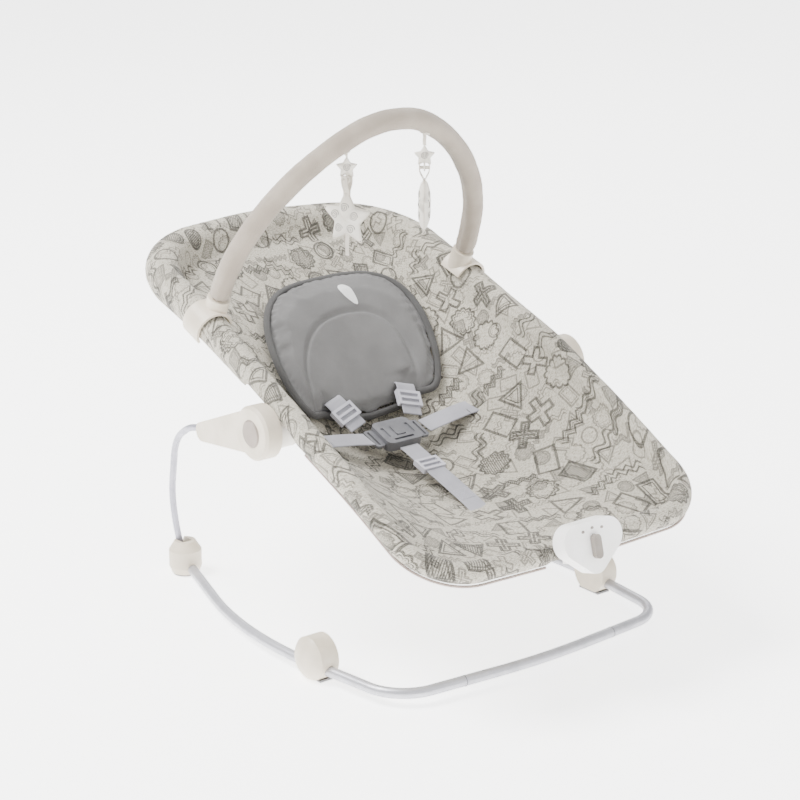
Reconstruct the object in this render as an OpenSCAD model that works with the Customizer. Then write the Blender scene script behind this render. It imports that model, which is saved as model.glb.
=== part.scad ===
// Infant bouncer seat: a fabric sling on an oval tube frame, carried at two hubs by bent spring
// wires over a floor frame, with a padded toy bar, a five point harness and a vibration unit.
// +X runs from head to foot, +Y is the sitter's left, +Z is up, and the floor is at Z = 0.

/* [Floor frame] */
// Distance from the front cross tube to the pivots in the rear feet
base_length = 474; // [470:1:478]
// Half width at the widest bend of the side tubes
base_half_width = 218; // [215:1:221]
// Diameter of the floor tubes
floor_tube_d = 12; // [11:0.5:13]
// Wall of the floor tubes
floor_tube_wall = 1; // [0.8:0.1:1.5]
// Height of the floor tubes' centre over the floor at the front
floor_tube_z = 14.7; // [14:0.1:16]
// Diameter of the spring wires
wire_d = 8; // [7:0.5:8.5]

/* [Hubs] */
// Distance of the hub axis behind the front cross tube
hub_back = 215; // [213:1:217]
// Height of the hub axis
hub_z = 258; // [256:1:260]
// Half width over the hubs' outer faces
hub_face = 226; // [225:0.5:228]
// Diameter of the round hub cover
hub_d = 60; // [58:1:62]
// Diameter of the release buttons
button_d = 30; // [28:1:31]
// Teeth on each lock gear
gear_teeth = 18; // [16:1:20]

/* [Seat] */
// Half width between the centres of the frame tube's sides
seat_half_width = 191; // [189:1:192]
// Diameter of the seat frame tube
frame_tube_d = 14; // [12:1:15]
// Radius of the padded roll over the frame tube beside the hubs
roll_r = 14.5; // [14:0.5:15]
// Radius of the padded roll at the foot end
foot_roll_r = 12; // [11.5:0.5:12.5]
// Radius of the padded roll at the head end
head_roll_r = 20; // [18:0.5:21]
// Deepest sag of the sling under its rim
sling_depth = 125; // [118:1:128]
// Thickness of the quilted sling
sling_thickness = 4; // [3:0.5:5]

/* [Toy bar] */
// Diameter of the padded sleeve
sleeve_d = 24; // [22:1:26]
// Diameter of the flexible rod
rod_d = 8; // [6:1:9]
// Lean of the arch from the horizontal
bar_lean = 64.5; // [63:0.5:66]
// Height of the arch along its own plane
bar_height = 245; // [240:1:250]

/* [Harness] */
// Width of the webbing
strap_w = 25; // [22:1:26]
// Thickness of the webbing
strap_t = 1.4; // [1:0.1:1.6]

/* [Vibration unit] */
// Width of the unit
unit_w = 80; // [78:1:84]
// Lean of its face back from the vertical
unit_lean = 15; // [12:1:17]

/* [Hidden] */
$fn = 48;
eps = 0.01;
up = [0, 0, 1];
along_y = [0, 1, 0];

// Places along X, counted from the model's origin
cross_x = 228.9;
hub_x = cross_x - hub_back;
rear_x = cross_x - base_length;

// ---------- shared shapes ----------

function unit(v) = v / norm(v);
function smooth(t) = let (c = max(0, min(1, t))) c * c * (3 - 2 * c);
function mix(a, b, t) = a + (b - a) * t;
// Matrix that turns local X and Z to the given directions
function basis(x, z) = let (y = cross(z, x))
    [[x[0], y[0], z[0], 0], [x[1], y[1], z[1], 0], [x[2], y[2], z[2], 0], [0, 0, 0, 1]];
// Any direction square to v
function square_to(v) = unit(cross(v, abs(v[2]) < 0.9 ? up : along_y));

module oriented(at, x, z) translate(at) multmatrix(basis(x, z)) children();

// The left side is drawn, and side -1 mirrors it
module sided(side) {
    if (side > 0) children();
    else mirror([0, 1, 0]) children();
}

module ring_section(d, bore) {
    difference() {
        circle(d = d);
        if (bore > 0) circle(d = bore);
    }
}

module rod(from, to, d, bore = 0) {
    axis = unit(to - from);
    oriented(from, square_to(axis), axis) linear_extrude(norm(to - from)) ring_section(d, bore);
}

// Distance between a corner and the start of its bend
function setback(p, radii, i) = i == 0 || i == len(p) - 1 ? 0
    : radii[i] * tan(acos(unit(p[i] - p[i - 1]) * unit(p[i + 1] - p[i])) / 2);

// Bends are this much slimmer than the straight legs, which reach this far into them
bend_step = 0.16;
bend_lap = 0.2;

module bend_section(d, bore) ring_section(d - bend_step, bore > 0 ? bore + bend_step : 0);

module bend(p, q, r, radius, d, bore) {
    into = unit(q - p);
    out = unit(r - q);
    angle = acos(into * out);
    normal = unit(cross(into, out));
    inward = cross(normal, into);
    oriented(q - radius * tan(angle / 2) * into + radius * inward, -inward, normal)
        rotate_extrude(angle = angle, $fn = 96) translate([radius, 0]) bend_section(d, bore);
}

// Tube along straight legs that meet in round bends
module bent_tube(p, radii, d, bore = 0) {
    last = len(p) - 1;
    for (i = [0 : last - 1]) {
        leg = unit(p[i + 1] - p[i]);
        from = setback(p, radii, i) - (i > 0 ? bend_lap : 0);
        to = setback(p, radii, i + 1) - (i + 1 < last ? bend_lap : 0);
        rod(p[i] + from * leg, p[i + 1] - to * leg, d, bore);
    }
    for (i = [1 : last - 1]) bend(p[i - 1], p[i], p[i + 1], radii[i], d, bore);
}

// Points around one rounded corner
function corner_arc(p, q, r, radius, steps) = let (
    into = unit(q - p),
    out = unit(r - q),
    angle = acos(into * out),
    start = q - radius * tan(angle / 2) * into,
    inward = cross(unit(cross(into, out)), into))
    [for (k = [0 : steps]) let (a = angle * k / steps)
        start + radius * (sin(a) * into + (1 - cos(a)) * inward)];

// Closed skin over rings of equal length, with a fan from a point over each end
module skin(rings, first, last) {
    n = len(rings[0]);
    m = len(rings);
    points = concat([first], [for (ring = rings, p = ring) p], [last]);
    polyhedron(points, concat(
        [for (i = [0 : n - 1]) [0, 1 + (i + 1) % n, 1 + i]],
        [for (k = [0 : m - 2], i = [0 : n - 1]) each [
            [1 + k * n + i, 1 + k * n + (i + 1) % n, 1 + (k + 1) * n + (i + 1) % n],
            [1 + k * n + i, 1 + (k + 1) * n + (i + 1) % n, 1 + (k + 1) * n + i]]],
        [for (i = [0 : n - 1]) [1 + m * n, 1 + (m - 1) * n + i, 1 + (m - 1) * n + (i + 1) % n]]));
}

// Shallow cap of the given rim radius and height, resting on its rim
module dome(r, h) {
    sphere_r = (r * r + h * h) / (2 * h);
    rotate_extrude($fn = 64) intersection() {
        translate([0, h - sphere_r]) circle(r = sphere_r, $fn = 192);
        square([r, h]);
    }
}

// ---------- floor frame ----------

tube_bore = floor_tube_d - 2 * floor_tube_wall;
joint_y = 105;
spigot_length = 24;
slip = 0.05;
rear_foot_y = 147;
rear_tube_z = 9.2;
wire_pivot_z = 22;

// Route of the left side tube, from its joint with the cross tube to the rear foot
side_route = [
    [cross_x - 3, joint_y, floor_tube_z],
    [cross_x - 10, 189, floor_tube_z],
    [cross_x - 250, base_half_width, mix(rear_tube_z, floor_tube_z, 0.58)],
    [rear_x + 12, rear_foot_y, rear_tube_z]];
side_radii = [0, 52, 520, 0];

module front_cross_tube() color("#b9b8c0") {
    ends = [cross_x - 3, joint_y, floor_tube_z];
    middle = [cross_x + 5.4, 0, floor_tube_z];
    bent_tube([[ends[0], -ends[1], ends[2]], middle, ends], [0, 750, 0], floor_tube_d, tube_bore);
    for (side = [-1, 1]) sided(side) {
        inward = unit(middle - ends);
        rod(ends + 18 * inward, ends, tube_bore + 0.5);
        rod(ends + inward, ends - spigot_length * inward, tube_bore - 2 * slip);
    }
}

module side_tube(side) color("#b9b8c0") sided(side)
    bent_tube(side_route, side_radii, floor_tube_d, tube_bore);
module left_side_tube() side_tube(1);
module right_side_tube() side_tube(-1);

// The same tube a little fatter, to cut its seat in the feet
module side_tube_clearance() bent_tube(side_route, side_radii, floor_tube_d + 2 * slip);

front_foot_x = cross_x - 134;
front_foot_y = 190;
front_foot_r = 24.5;
front_foot_t = 34;
front_foot_dome = 12;
foot_screw_x = 12;

// Puck on edge with a flat inner face and a domed outer face
module front_foot(side) color("#f2efe9") sided(side) difference() {
    translate([front_foot_x, front_foot_y, front_foot_r - 1]) rotate([-90, 0, 0]) {
        cylinder(h = front_foot_t - front_foot_dome, r = front_foot_r, $fn = 64);
        translate([0, 0, front_foot_t - front_foot_dome]) dome(front_foot_r, front_foot_dome);
    }
    translate([front_foot_x - 40, front_foot_y - 40, -20]) cube([80, 90, 22]);
    side_tube_clearance();
    foot_screw_bores();
}
module left_front_foot() front_foot(1);
module right_front_foot() front_foot(-1);

rear_foot_r = 19.5;
rear_foot_shoulder = 30;
rear_foot_top = 41;
slot_back = 17;
slot_front = 6;

module rear_foot_barrel() {
    translate([rear_x, rear_foot_y, 2]) cylinder(h = 8, r1 = rear_foot_r - 3, r2 = rear_foot_r, $fn = 64);
    translate([rear_x, rear_foot_y, 10])
        cylinder(h = rear_foot_shoulder - 10, r = rear_foot_r, $fn = 64);
    translate([rear_x, rear_foot_y, rear_foot_shoulder])
        cylinder(h = rear_foot_top - rear_foot_shoulder, r1 = rear_foot_r, r2 = rear_foot_r - 7, $fn = 64);
}

// Barrel with a cross bore for the wire's foot, a slot that lets it rock and a socket for the tube
module rear_foot(side) color("#f2efe9") sided(side) difference() {
    rear_foot_barrel();
    translate([rear_x - 4, rear_foot_y - rear_foot_r - 1, wire_pivot_z])
        rotate([-90, 0, 0]) cylinder(h = rear_foot_r, d = wire_d + 2 * slip);
    translate([rear_x - slot_back, rear_foot_y - 6, wire_pivot_z - wire_d / 2 - 1])
        cube([slot_back + slot_front, 13, rear_foot_top]);
    side_tube_clearance();
    foot_screw_bores();
}
module left_rear_foot() rear_foot(1);
module right_rear_foot() rear_foot(-1);

// Centres of the screws that hold the grip pads
pad_screws = [
    [front_foot_x - foot_screw_x, front_foot_y + 6],
    [front_foot_x + foot_screw_x, front_foot_y + 6],
    [rear_x - 8, rear_foot_y - 8]];

screw_l = 8;
module foot_screw_bores() for (p = pad_screws)
    translate([p[0], p[1], 1]) cylinder(h = screw_l, d = 2.6);

module foot_grip_pads() color("#8f8f92") for (side = [-1, 1]) sided(side) difference() {
    union() {
        translate([front_foot_x - 16, front_foot_y + 1, 0]) cube([32, 18, 2 - eps]);
        translate([rear_x, rear_foot_y, 0]) cylinder(h = 2 - eps, r = 15);
    }
    for (p = pad_screws) translate([p[0], p[1], -1]) {
        cylinder(h = 4, d = 3.2);
        cylinder(h = 2, d = 6);
    }
}

module foot_screws() color("#9a9aa0") for (side = [-1, 1]) sided(side)
    for (p = pad_screws) translate([p[0], p[1], 0]) {
        translate([0, 0, 0.4]) cylinder(h = 0.5, d = 5.4);
        translate([0, 0, 0.8]) cylinder(h = screw_l, d = 2.5);
    }

// ---------- spring wires ----------

wire_route = [
    [rear_x - 4, rear_foot_y - rear_foot_r + 2, wire_pivot_z],
    [rear_x - 4, rear_foot_y + 1, wire_pivot_z],
    [cross_x - 495, 152, 78],
    [cross_x - 430, 184, 188],
    [cross_x - 375, 198.5, 219],
    [cross_x - 296, 199.5, 232.5]];
wire_radii = [0, 6, 118, 120, 90, 0];

module spring_wire(side) color("#b9b8c0") sided(side) bent_tube(wire_route, wire_radii, wire_d);
module left_spring_wire() spring_wire(1);
module right_spring_wire() spring_wire(-1);

// ---------- hubs ----------

hub_axis = [hub_x, 0, hub_z];
outer_back = 206;
web_y = 212;
web_t = 2.5;
well_y = web_y + web_t;
inner_back = 178;
inner_face = 201;
inner_r = 22;
pin_d = 8;
gear_r = 18;
gear_t = 10;
gear_back = 199;
button_stroke = 4;
leg_r = 11;

// Round bar along Y on the hub axis, from y1 to y2
module hub_bar(y1, y2, d) translate([hub_x, y1, hub_z]) rotate([-90, 0, 0]) cylinder(h = y2 - y1, d = d);

// Outline of a gear with square teeth, its tips at radius r
module gear_outline(r, depth, clearance = 0) {
    pitch = 360 / gear_teeth;
    polygon([for (k = [0 : gear_teeth - 1]) each [
        for (s = [[-0.30, -depth], [-0.17, 0], [0.17, 0], [0.30, -depth]])
            (r + s[1] + clearance) * [cos((k + s[0]) * pitch), sin((k + s[0]) * pitch)]]]);
}

module gear_solid(y1, y2, clearance = 0)
    translate([hub_x, y1, hub_z]) rotate([-90, 0, 0])
        linear_extrude(y2 - y1) gear_outline(gear_r, 3, clearance);

pod_tip = [cross_x - 326, 229];
pod_tip_r = 11;
pod_root_r = 27;
pod_back_root_r = 21;

// Side view of the pod that runs back from the hub to the wire
module pod_outline(root_r = pod_root_r) {
    root = [hub_x, hub_z];
    reach = pod_tip - root;
    dir = unit(reach);
    side_dir = [-dir[1], dir[0]];
    lean = (root_r - pod_tip_r) / norm(reach);
    normal_up = lean * dir + sqrt(1 - lean * lean) * side_dir;
    normal_down = lean * dir - sqrt(1 - lean * lean) * side_dir;
    translate(pod_tip) circle(r = pod_tip_r);
    translate(root) circle(r = root_r);
    polygon([root + root_r * normal_up, pod_tip + pod_tip_r * normal_up,
        pod_tip + pod_tip_r * normal_down, root + root_r * normal_down]);
}

module hub_outer(side) color("#f2efe9") sided(side) difference() {
    union() {
        hub_bar(outer_back, hub_face - 3, hub_d);
        translate([hub_x, hub_face - 3, hub_z]) rotate([-90, 0, 0])
            cylinder(h = 3, d1 = hub_d, d2 = hub_d - 6, $fn = 64);
        translate([0, outer_back + 10, 0]) rotate([90, 0, 0]) linear_extrude(10) pod_outline();
        translate([0, outer_back + 1, 0]) rotate([90, 0, 0]) linear_extrude(14)
            intersection() {
                pod_outline(pod_back_root_r);
                translate(pod_tip - [40, 40])
                    square([hub_x - inner_r - 6 - pod_tip[0] + 40, 90]);
            }
    }
    bent_tube([for (i = [3 : 5]) wire_route[i]], [0, wire_radii[4], 0], wire_d + 2 * slip);
    gear_solid(outer_back - 1, web_y, 0.15);
    hub_bar(well_y, hub_face + 1, button_d + 0.4);
    hub_bar(web_y - 1, well_y + 1, pin_d);
    for (k = [0 : 2]) translate([hub_x, web_y - 1, hub_z]) rotate([-90, 120 * k, 0])
        translate([leg_r, 0, 0]) cylinder(h = web_t + 2, d = 4.6);
}
module left_hub_outer() hub_outer(1);
module right_hub_outer() hub_outer(-1);

function frame_z(x) = let (u = x - cross_x) 184.5 - 0.525 * u - 0.00026 * u * u;
frame_mid_z = frame_z(hub_x);
socket_r = 9.3;

module hub_inner(side) color("#e9e6e0") sided(side) difference() {
    union() {
        hub_bar(inner_back, inner_face, 2 * inner_r);
        rod(mix(rim_corners[hub_corner], rim_corners[hub_corner - 1], 0.2),
            mix(rim_corners[hub_corner], rim_corners[hub_corner + 1], 0.2), 2 * socket_r);
        translate([hub_x - 15, seat_half_width - 8, hub_z + 12]) cube([24, 14, frame_mid_z - hub_z - 12]);
    }
    frame_tube_clearance();
    hub_bar(inner_back - 1, inner_face + 1, pin_d + 2 * slip);
    hub_bar(193, inner_face + 1, 2 * gear_r + 0.8);
}
module left_hub_inner() hub_inner(1);
module right_hub_inner() hub_inner(-1);

module hub_pin(side) color("#a8a8ad") sided(side) {
    hub_bar(inner_back - 2, well_y + eps, pin_d);
    hub_bar(well_y, well_y + 3, 13);
    hub_bar(inner_back - 5, inner_back - 2 + eps, 13);
}
module left_hub_pin() hub_pin(1);
module right_hub_pin() hub_pin(-1);

module lock_gear(side) color("#55565a") sided(side) difference() {
    gear_solid(gear_back, gear_back + gear_t);
    hub_bar(gear_back - 1, gear_back + gear_t + 1, pin_d + 1.5);
}
module left_lock_gear() lock_gear(1);
module right_lock_gear() lock_gear(-1);

button_back = 219;
button_face = hub_face + 1.5;

module hub_button(side) color("#a99f98") sided(side) {
    difference() {
        union() {
            hub_bar(button_back, button_face - 1.5, button_d);
            translate([hub_x, button_face - 1.5, hub_z]) rotate([-90, 0, 0])
                cylinder(h = 1.5, d1 = button_d, d2 = button_d - 3, $fn = 64);
        }
        hub_bar(button_back - 1, button_back + 3.5, 16);
    }
    for (k = [0 : 2]) translate([hub_x, gear_back + gear_t, hub_z]) rotate([-90, 120 * k, 0])
        translate([leg_r, 0, 0]) cylinder(h = button_back - gear_back - gear_t + 0.5, d = 4);
}
module left_hub_button() hub_button(1);
module right_hub_button() hub_button(-1);

spring_coil_r = 9;
spring_wire_d = 1.2;
spring_turns = 2.5;
coil_steps = 12;
coil_sides = 6;

// Points around the spring's wire at one place along its helix
function coil_ring(k, y1, y2) = let (
    steps = spring_turns * coil_steps,
    a = 360 * k / coil_steps,
    radial = [cos(a), 0, sin(a)],
    centre = [hub_x, mix(y1, y2, k / steps), hub_z] + spring_coil_r * radial)
    [for (s = [0 : coil_sides - 1]) let (b = -360 * s / coil_sides)
        centre + spring_wire_d / 2 * (cos(b) * radial + sin(b) * along_y)];

module lock_spring(side) color("#a8a8ad") sided(side) {
    rest = spring_wire_d / 2 + 0.1;
    rings = [for (k = [0 : spring_turns * coil_steps]) coil_ring(k, 193 + rest, gear_back - rest)];
    middle = [for (ring = [rings[0], rings[len(rings) - 1]]) (ring[0] + ring[coil_sides / 2]) / 2];
    skin(rings, middle[0], middle[1]);
}
module left_lock_spring() lock_spring(1);
module right_lock_spring() lock_spring(-1);

// ---------- seat frame ----------

// Corners of the left half of the rim, from the foot end to the head end, with their bend radii
rim_plan = [
    [50, 0, 1000], [45, seat_half_width - 1, 64], [-85, seat_half_width - 0.5, 1500],
    [-hub_back, seat_half_width, 600], [-360, seat_half_width - 10, 1500],
    [-508, seat_half_width - 14, 96], [-530, 0, 320]];
function rim_point(c) = [cross_x + c[0], c[1], frame_z(cross_x + c[0])];
rim_corners = [for (c = rim_plan) rim_point(c)];
rim_last = len(rim_plan) - 1;
rim_loop = concat(rim_corners,
    [for (i = [rim_last - 1 : -1 : 1]) [rim_corners[i][0], -rim_corners[i][1], rim_corners[i][2]]]);
rim_radii = concat([for (c = rim_plan) c[2]], [for (i = [rim_last - 1 : -1 : 1]) rim_plan[i][2]]);
socket_gap = 6;
hub_corner = 3;

// Tube from hub to hub through the rim corners between the hub's and the given end's
module frame_route(end, d, bore) {
    step = sign(end - hub_corner);
    first = rim_corners[hub_corner];
    half = concat([first + socket_gap * unit(rim_corners[hub_corner + step] - first)],
        [for (i = [hub_corner + step : step : end]) rim_corners[i]]);
    radii = concat([0], [for (i = [hub_corner + step : step : end]) rim_plan[i][2]]);
    back = [for (i = [len(half) - 2 : -1 : 0]) i];
    bent_tube(concat(half, [for (i = back) [half[i][0], -half[i][1], half[i][2]]]),
        concat(radii, [for (i = back) radii[i]]), d, bore);
}

module frame_tube_clearance() {
    middle = rim_corners[hub_corner];
    for (next = [rim_corners[hub_corner - 1], rim_corners[hub_corner + 1]])
        rod(middle + (socket_gap - 1) * unit(next - middle), mix(middle, next, 0.5), frame_tube_d + 2 * slip);
}

frame_bore = frame_tube_d - 2.4;
module head_frame_tube() color("#b9b8c0") frame_route(rim_last, frame_tube_d, frame_bore);
module foot_frame_tube() color("#b9b8c0") frame_route(0, frame_tube_d, frame_bore);

// ---------- seat cover ----------

corner_steps = [2, 6, 1, 2, 1, 6, 4];
loop_n = len(rim_loop);
function steps_at(i) = corner_steps[i <= rim_last ? i : loop_n - i];
// Points along the legs between the corners' arcs, placed where the legs reach the hubs
function leg_points(i) = let (
    next = (i + 1) % loop_n,
    beside = abs(rim_loop[i][0] - hub_x) < 1 ? 1 : abs(rim_loop[next][0] - hub_x) < 1 ? -1 : 0,
    run = rim_loop[next] - rim_loop[i])
    beside == 0 ? []
    : beside > 0 ? [for (d = [38, 56]) rim_loop[i] + d * unit(run)]
    : [for (d = [56, 38]) rim_loop[next] - d * unit(run)];
// Points along the rim's centre line, all the way round
rim_line = [for (i = [0 : loop_n - 1])
    each concat(corner_arc(rim_loop[(i + loop_n - 1) % loop_n], rim_loop[i], rim_loop[(i + 1) % loop_n],
        rim_radii[i], steps_at(i)), leg_points(i))];
line_n = len(rim_line);
// Level direction out of the rim at each of its points
rim_out = [for (i = [0 : line_n - 1]) let (
    t = rim_line[(i + 1) % line_n] - rim_line[(i + line_n - 1) % line_n])
    unit([t[1], -t[0], 0])];

head_dip = 25;
pocket_start = -430;
pocket_length = 160;
pocket_end = pocket_start + pocket_length;
flat_half_width = 175;
centre_point = [cross_x - 230, 0, 0];

// Sag of the sling's middle line under the rim
function sag(u) = u < pocket_end
    ? head_dip * smooth((u + 512) / 90)
        + (sling_depth - head_dip) * smooth((u - pocket_start) / pocket_length)
    : sling_depth * (1 - pow(min(1, (u - pocket_end) / 312), 1.5));
function sling_z(x, y) = frame_z(x) - 5
    - sag(x - cross_x) * (1 - pow(min(1, abs(y) / flat_half_width), 2.2));

// Radius of the roll: slim at the foot end and full at the head end, and slimmest where the
// vibration unit clamps the rim
function roll_at(p) = let (u = p[0] - cross_x)
    abs(p[1]) < unit_w / 2 + 14 && u > 0 ? frame_tube_d / 2 + 2.5
    : u > -hub_back ? mix(roll_r, foot_roll_r, smooth((u + hub_back) / 200))
    : mix(roll_r, head_roll_r, smooth((-hub_back - u) / 270));
// How far under the tube the roll reaches, as an angle: it is cut back over the hubs
function roll_end(p) = abs(p[0] - hub_x) < 45 && abs(p[1]) > 150 ? 0 : -60;

roll_start = 170;
roll_steps = 7;
roll_wall = 3;
inner_steps = [0.04, 0.12, 0.22, 0.34, 0.48, 0.62, 0.76, 0.9];

// Radius of the roll's outer or inner face
function roll_face(p, inside) = inside ? max(roll_at(p) - roll_wall, frame_tube_d / 2 + 0.6) : roll_at(p);
function roll_ring(inside, k) = [for (i = [0 : line_n - 1]) let (
    angle = mix(roll_start, roll_end(rim_line[i]), k / roll_steps))
    rim_line[i] + roll_face(rim_line[i], inside) * (cos(angle) * rim_out[i] + sin(angle) * up)];
function inner_ring(t, drop) = [for (i = [0 : line_n - 1]) let (
    edge = rim_line[i] - roll_at(rim_line[i]) * rim_out[i],
    x = mix(edge[0], centre_point[0], t),
    y = mix(edge[1], centre_point[1], t))
    [x, y, sling_z(x, y) - drop]];

module seat_sling() color("#d9d3c6") {
    top = concat(
        [for (k = [len(inner_steps) - 1 : -1 : 0]) inner_ring(inner_steps[k], 0)],
        [for (k = [0 : roll_steps]) roll_ring(false, k)]);
    under = concat(
        [for (k = [roll_steps : -1 : 0]) roll_ring(true, k)],
        [for (t = inner_steps) inner_ring(t, sling_thickness)]);
    z = sling_z(centre_point[0], 0);
    skin(concat(top, under), [centre_point[0], 0, z], [centre_point[0], 0, z - sling_thickness]);
}

// Thin cord under the roll at the foot end, from each hub round to the vibration unit
module rim_piping() color("#b5a79e") for (side = [-1, 1]) sided(side)
    piping_run([for (i = [0 : line_n - 1]) let (p = rim_line[i])
        if (p[0] > hub_x + 60 && p[1] > unit_w / 2 + 14)
            p + (roll_at(p) + 1.9) * (cos(roll_end(p)) * rim_out[i] + sin(roll_end(p)) * up)]);

// Round cord through the given points
module piping_run(route) {
    n = len(route);
    cord_sides = 8;
    rings = [for (i = [0 : n - 1]) let (
        t = unit(route[min(n - 1, i + 1)] - route[max(0, i - 1)]),
        a = unit(cross(t, up)),
        b = cross(t, a))
        [for (s = [0 : cord_sides - 1]) let (w = 360 * s / cord_sides)
            route[i] + 1.5 * (cos(w) * a + sin(w) * b)]];
    skin(rings, route[0], route[n - 1]);
}

// ---------- head pad ----------

pad_low_u = -299.5;
pad_high_u = -426;
pad_half_width = 110;
pad_low_half_width = 98;
pad_lean = 18;
pad_middle_y = 8;
pad_ear = 20;
pad_ear_start = 66;
pad_ear_width = 34;
pad_t = 15;
pad_gap = 6;
pad_sides = 40;

// Plan of the pad's edge: a broad arch that leans to the left, over a lower edge with two rounded ears
function pad_edge(k) = let (
    a = 360 * k / pad_sides,
    s = sin(a),
    c = cos(a),
    upper = s > 0,
    waist_u = mix(pad_low_u, pad_high_u, 0.3),
    width = upper ? pad_half_width : mix(pad_half_width, pad_low_half_width, -s),
    reach = upper ? waist_u - pad_high_u : pad_low_u - waist_u,
    y = sign(c) * pow(abs(c), upper ? 0.8 : 0.3) * width,
    ear = upper ? 0 : pad_ear * smooth((abs(y) - pad_ear_start) / pad_ear_width) * sqrt(-s),
    u = waist_u - sign(s) * pow(abs(s), upper ? 0.85 : 0.75) * reach + ear)
    [u, y + pad_lean * max(0, (pad_low_u - u) / (pad_low_u - pad_high_u))];
function pad_ring(scale, rise) = let (middle = mix(pad_low_u, pad_high_u, 0.45))
    [for (k = [0 : pad_sides - 1]) let (
        e = pad_edge(k),
        x = cross_x + mix(middle, e[0], scale),
        y = mix(pad_middle_y, e[1], scale))
        [x, y, sling_z(x, y) + pad_gap + rise]];

module head_pad() color("#97979a") {
    slope = 1.45;
    x = cross_x + mix(pad_low_u, pad_high_u, 0.45);
    z = sling_z(x, 0) + pad_gap;
    rises = [[0.35, 1], [0.7, 0.97], [0.9, 0.86], [1, 0.5]];
    rings = concat(
        [for (r = rises) pad_ring(r[0], pad_t * slope * r[1])],
        [for (s = [0.96, 0.7, 0.35]) pad_ring(s, 0)]);
    skin(rings, [x, pad_middle_y, z + pad_t * slope], [x, pad_middle_y, z]);
}

// ---------- harness ----------

buckle_at = [cross_x - 254, 0, 201];
buckle_tilt = 20;
buckle_w = 50;
buckle_l = 40;
shell_t = 6;
tongue_t = 3;
tongue_stroke = 14;
button_press = 2.5;

module buckle_frame() translate(buckle_at) rotate([0, buckle_tilt, 0]) children();

module rounded_plate(l, w, t, r) linear_extrude(t) {
    square([l - 2 * r, w], center = true);
    square([l, w - 2 * r], center = true);
    for (i = [-1, 1], j = [-1, 1]) translate([i * (l / 2 - r), j * (w / 2 - r)]) circle(r = r);
}

// Room inside the buckle for both tongues and the button's foot
module buckle_cavity() translate([0, 0, -tongue_t / 2 - 0.3])
    linear_extrude(tongue_t + 0.6) square([20.6, buckle_w + 2], center = true);

module buckle_body() color("#8d8d90") buckle_frame() difference() {
    translate([0, 0, -shell_t]) rounded_plate(buckle_l, buckle_w, shell_t - eps, 7);
    buckle_cavity();
    translate([buckle_l / 2 - 6, 0, -shell_t - 1]) linear_extrude(2 * shell_t)
        square([3, strap_w + 2], center = true);
}

module buckle_cover() color("#8d8d90") buckle_frame() difference() {
    rounded_plate(buckle_l, buckle_w, shell_t, 7);
    buckle_cavity();
    translate([0, 0, -1]) linear_extrude(shell_t + 2) square([16.6, 12.6], center = true);
    for (y = [-17, 17]) translate([0, y, shell_t - 1.5]) rounded_plate(18, 4.5, 2, 2);
    translate([buckle_l / 2 - 6, 0, -1]) linear_extrude(2 * shell_t) square([3, strap_w + 2], center = true);
}

module buckle_button() color("#7d7d81") buckle_frame() {
    translate([0, 0, tongue_t / 2 + button_press + 0.5])
        rounded_plate(16, 12, shell_t - tongue_t / 2 - button_press + 0.6, 3);
}

// Blade in the buckle and a frame outside it that holds the webbing
module tongue(side) color("#8d8d90") sided(side) buckle_frame() {
    translate([0, 10 + buckle_w / 4 - 5, -tongue_t / 2]) linear_extrude(tongue_t)
        square([20, buckle_w / 2 - 8], center = true);
    translate([0, buckle_w / 2 + 6.5, -tongue_t / 2]) difference() {
        rounded_plate(30, 12, tongue_t, 3);
        translate([0, 1, -1]) linear_extrude(tongue_t + 2) square([strap_w, 3], center = true);
    }
}
module left_tongue() tongue(1);
module right_tongue() tongue(-1);

// Flat webbing between two points, lying square to the given direction
module webbing(from, to, facing, width = strap_w) {
    axis = unit(to - from);
    across = unit(cross(axis, facing));
    oriented(from, across, axis) linear_extrude(norm(to - from)) square([width, strap_t], center = true);
}

shoulder_top = [cross_x - 305, 52, 239];
shoulder_end = [cross_x - 273, 39, 212];
waist_top = [cross_x - 251, 98, 213];
waist_end = [cross_x - 253, 40, 203];
crotch_low = [cross_x - 120, 0, 159];
crotch_high = [cross_x - 231, 0, 193];
shoulder_facing = unit([0.62, 0.1, 0.78]);
crotch_facing = unit([0.34, 0, 1]);

module shoulder_strap(side) color("#d2d1da") sided(side) webbing(shoulder_top, shoulder_end, shoulder_facing);
module left_shoulder_strap() shoulder_strap(1);
module right_shoulder_strap() shoulder_strap(-1);

module waist_strap(side) color("#d2d1da") sided(side) webbing(waist_top, waist_end, unit([0.3, -0.15, 1]));
module left_waist_strap() waist_strap(1);
module right_waist_strap() waist_strap(-1);

module crotch_strap() color("#d2d1da") webbing(crotch_low, crotch_high, crotch_facing);

slider_l = 20;

// Slider that webbing runs through, centred part of the way along it
module slider(from, to, facing, place) {
    axis = unit(to - from);
    across = unit(cross(axis, facing));
    oriented(mix(from, to, place) - slider_l / 2 * axis, across, axis) linear_extrude(slider_l)
        difference() {
            square([strap_w + 6, 6], center = true);
            square([strap_w + 1, strap_t + 0.6], center = true);
        }
}

// The same with two windows in its face, which leave three bars across the webbing
module barred_slider(from, to, facing, place) {
    axis = unit(to - from);
    across = unit(cross(axis, facing));
    difference() {
        slider(from, to, facing, place);
        for (z = [-4, 4])
            oriented(mix(from, to, place) + z * axis, across, axis)
                translate([0, -2.5, 0]) cube([strap_w - 1, 3.6, 5], center = true);
    }
}

module shoulder_slider(side) color("#dddce2") sided(side)
    barred_slider(shoulder_top, shoulder_end, shoulder_facing, 0.5);
module left_shoulder_slider() shoulder_slider(1);
module right_shoulder_slider() shoulder_slider(-1);
module crotch_slider() color("#dddce2") barred_slider(crotch_low, crotch_high, crotch_facing, 0.66);

// ---------- toy bar ----------

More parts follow.
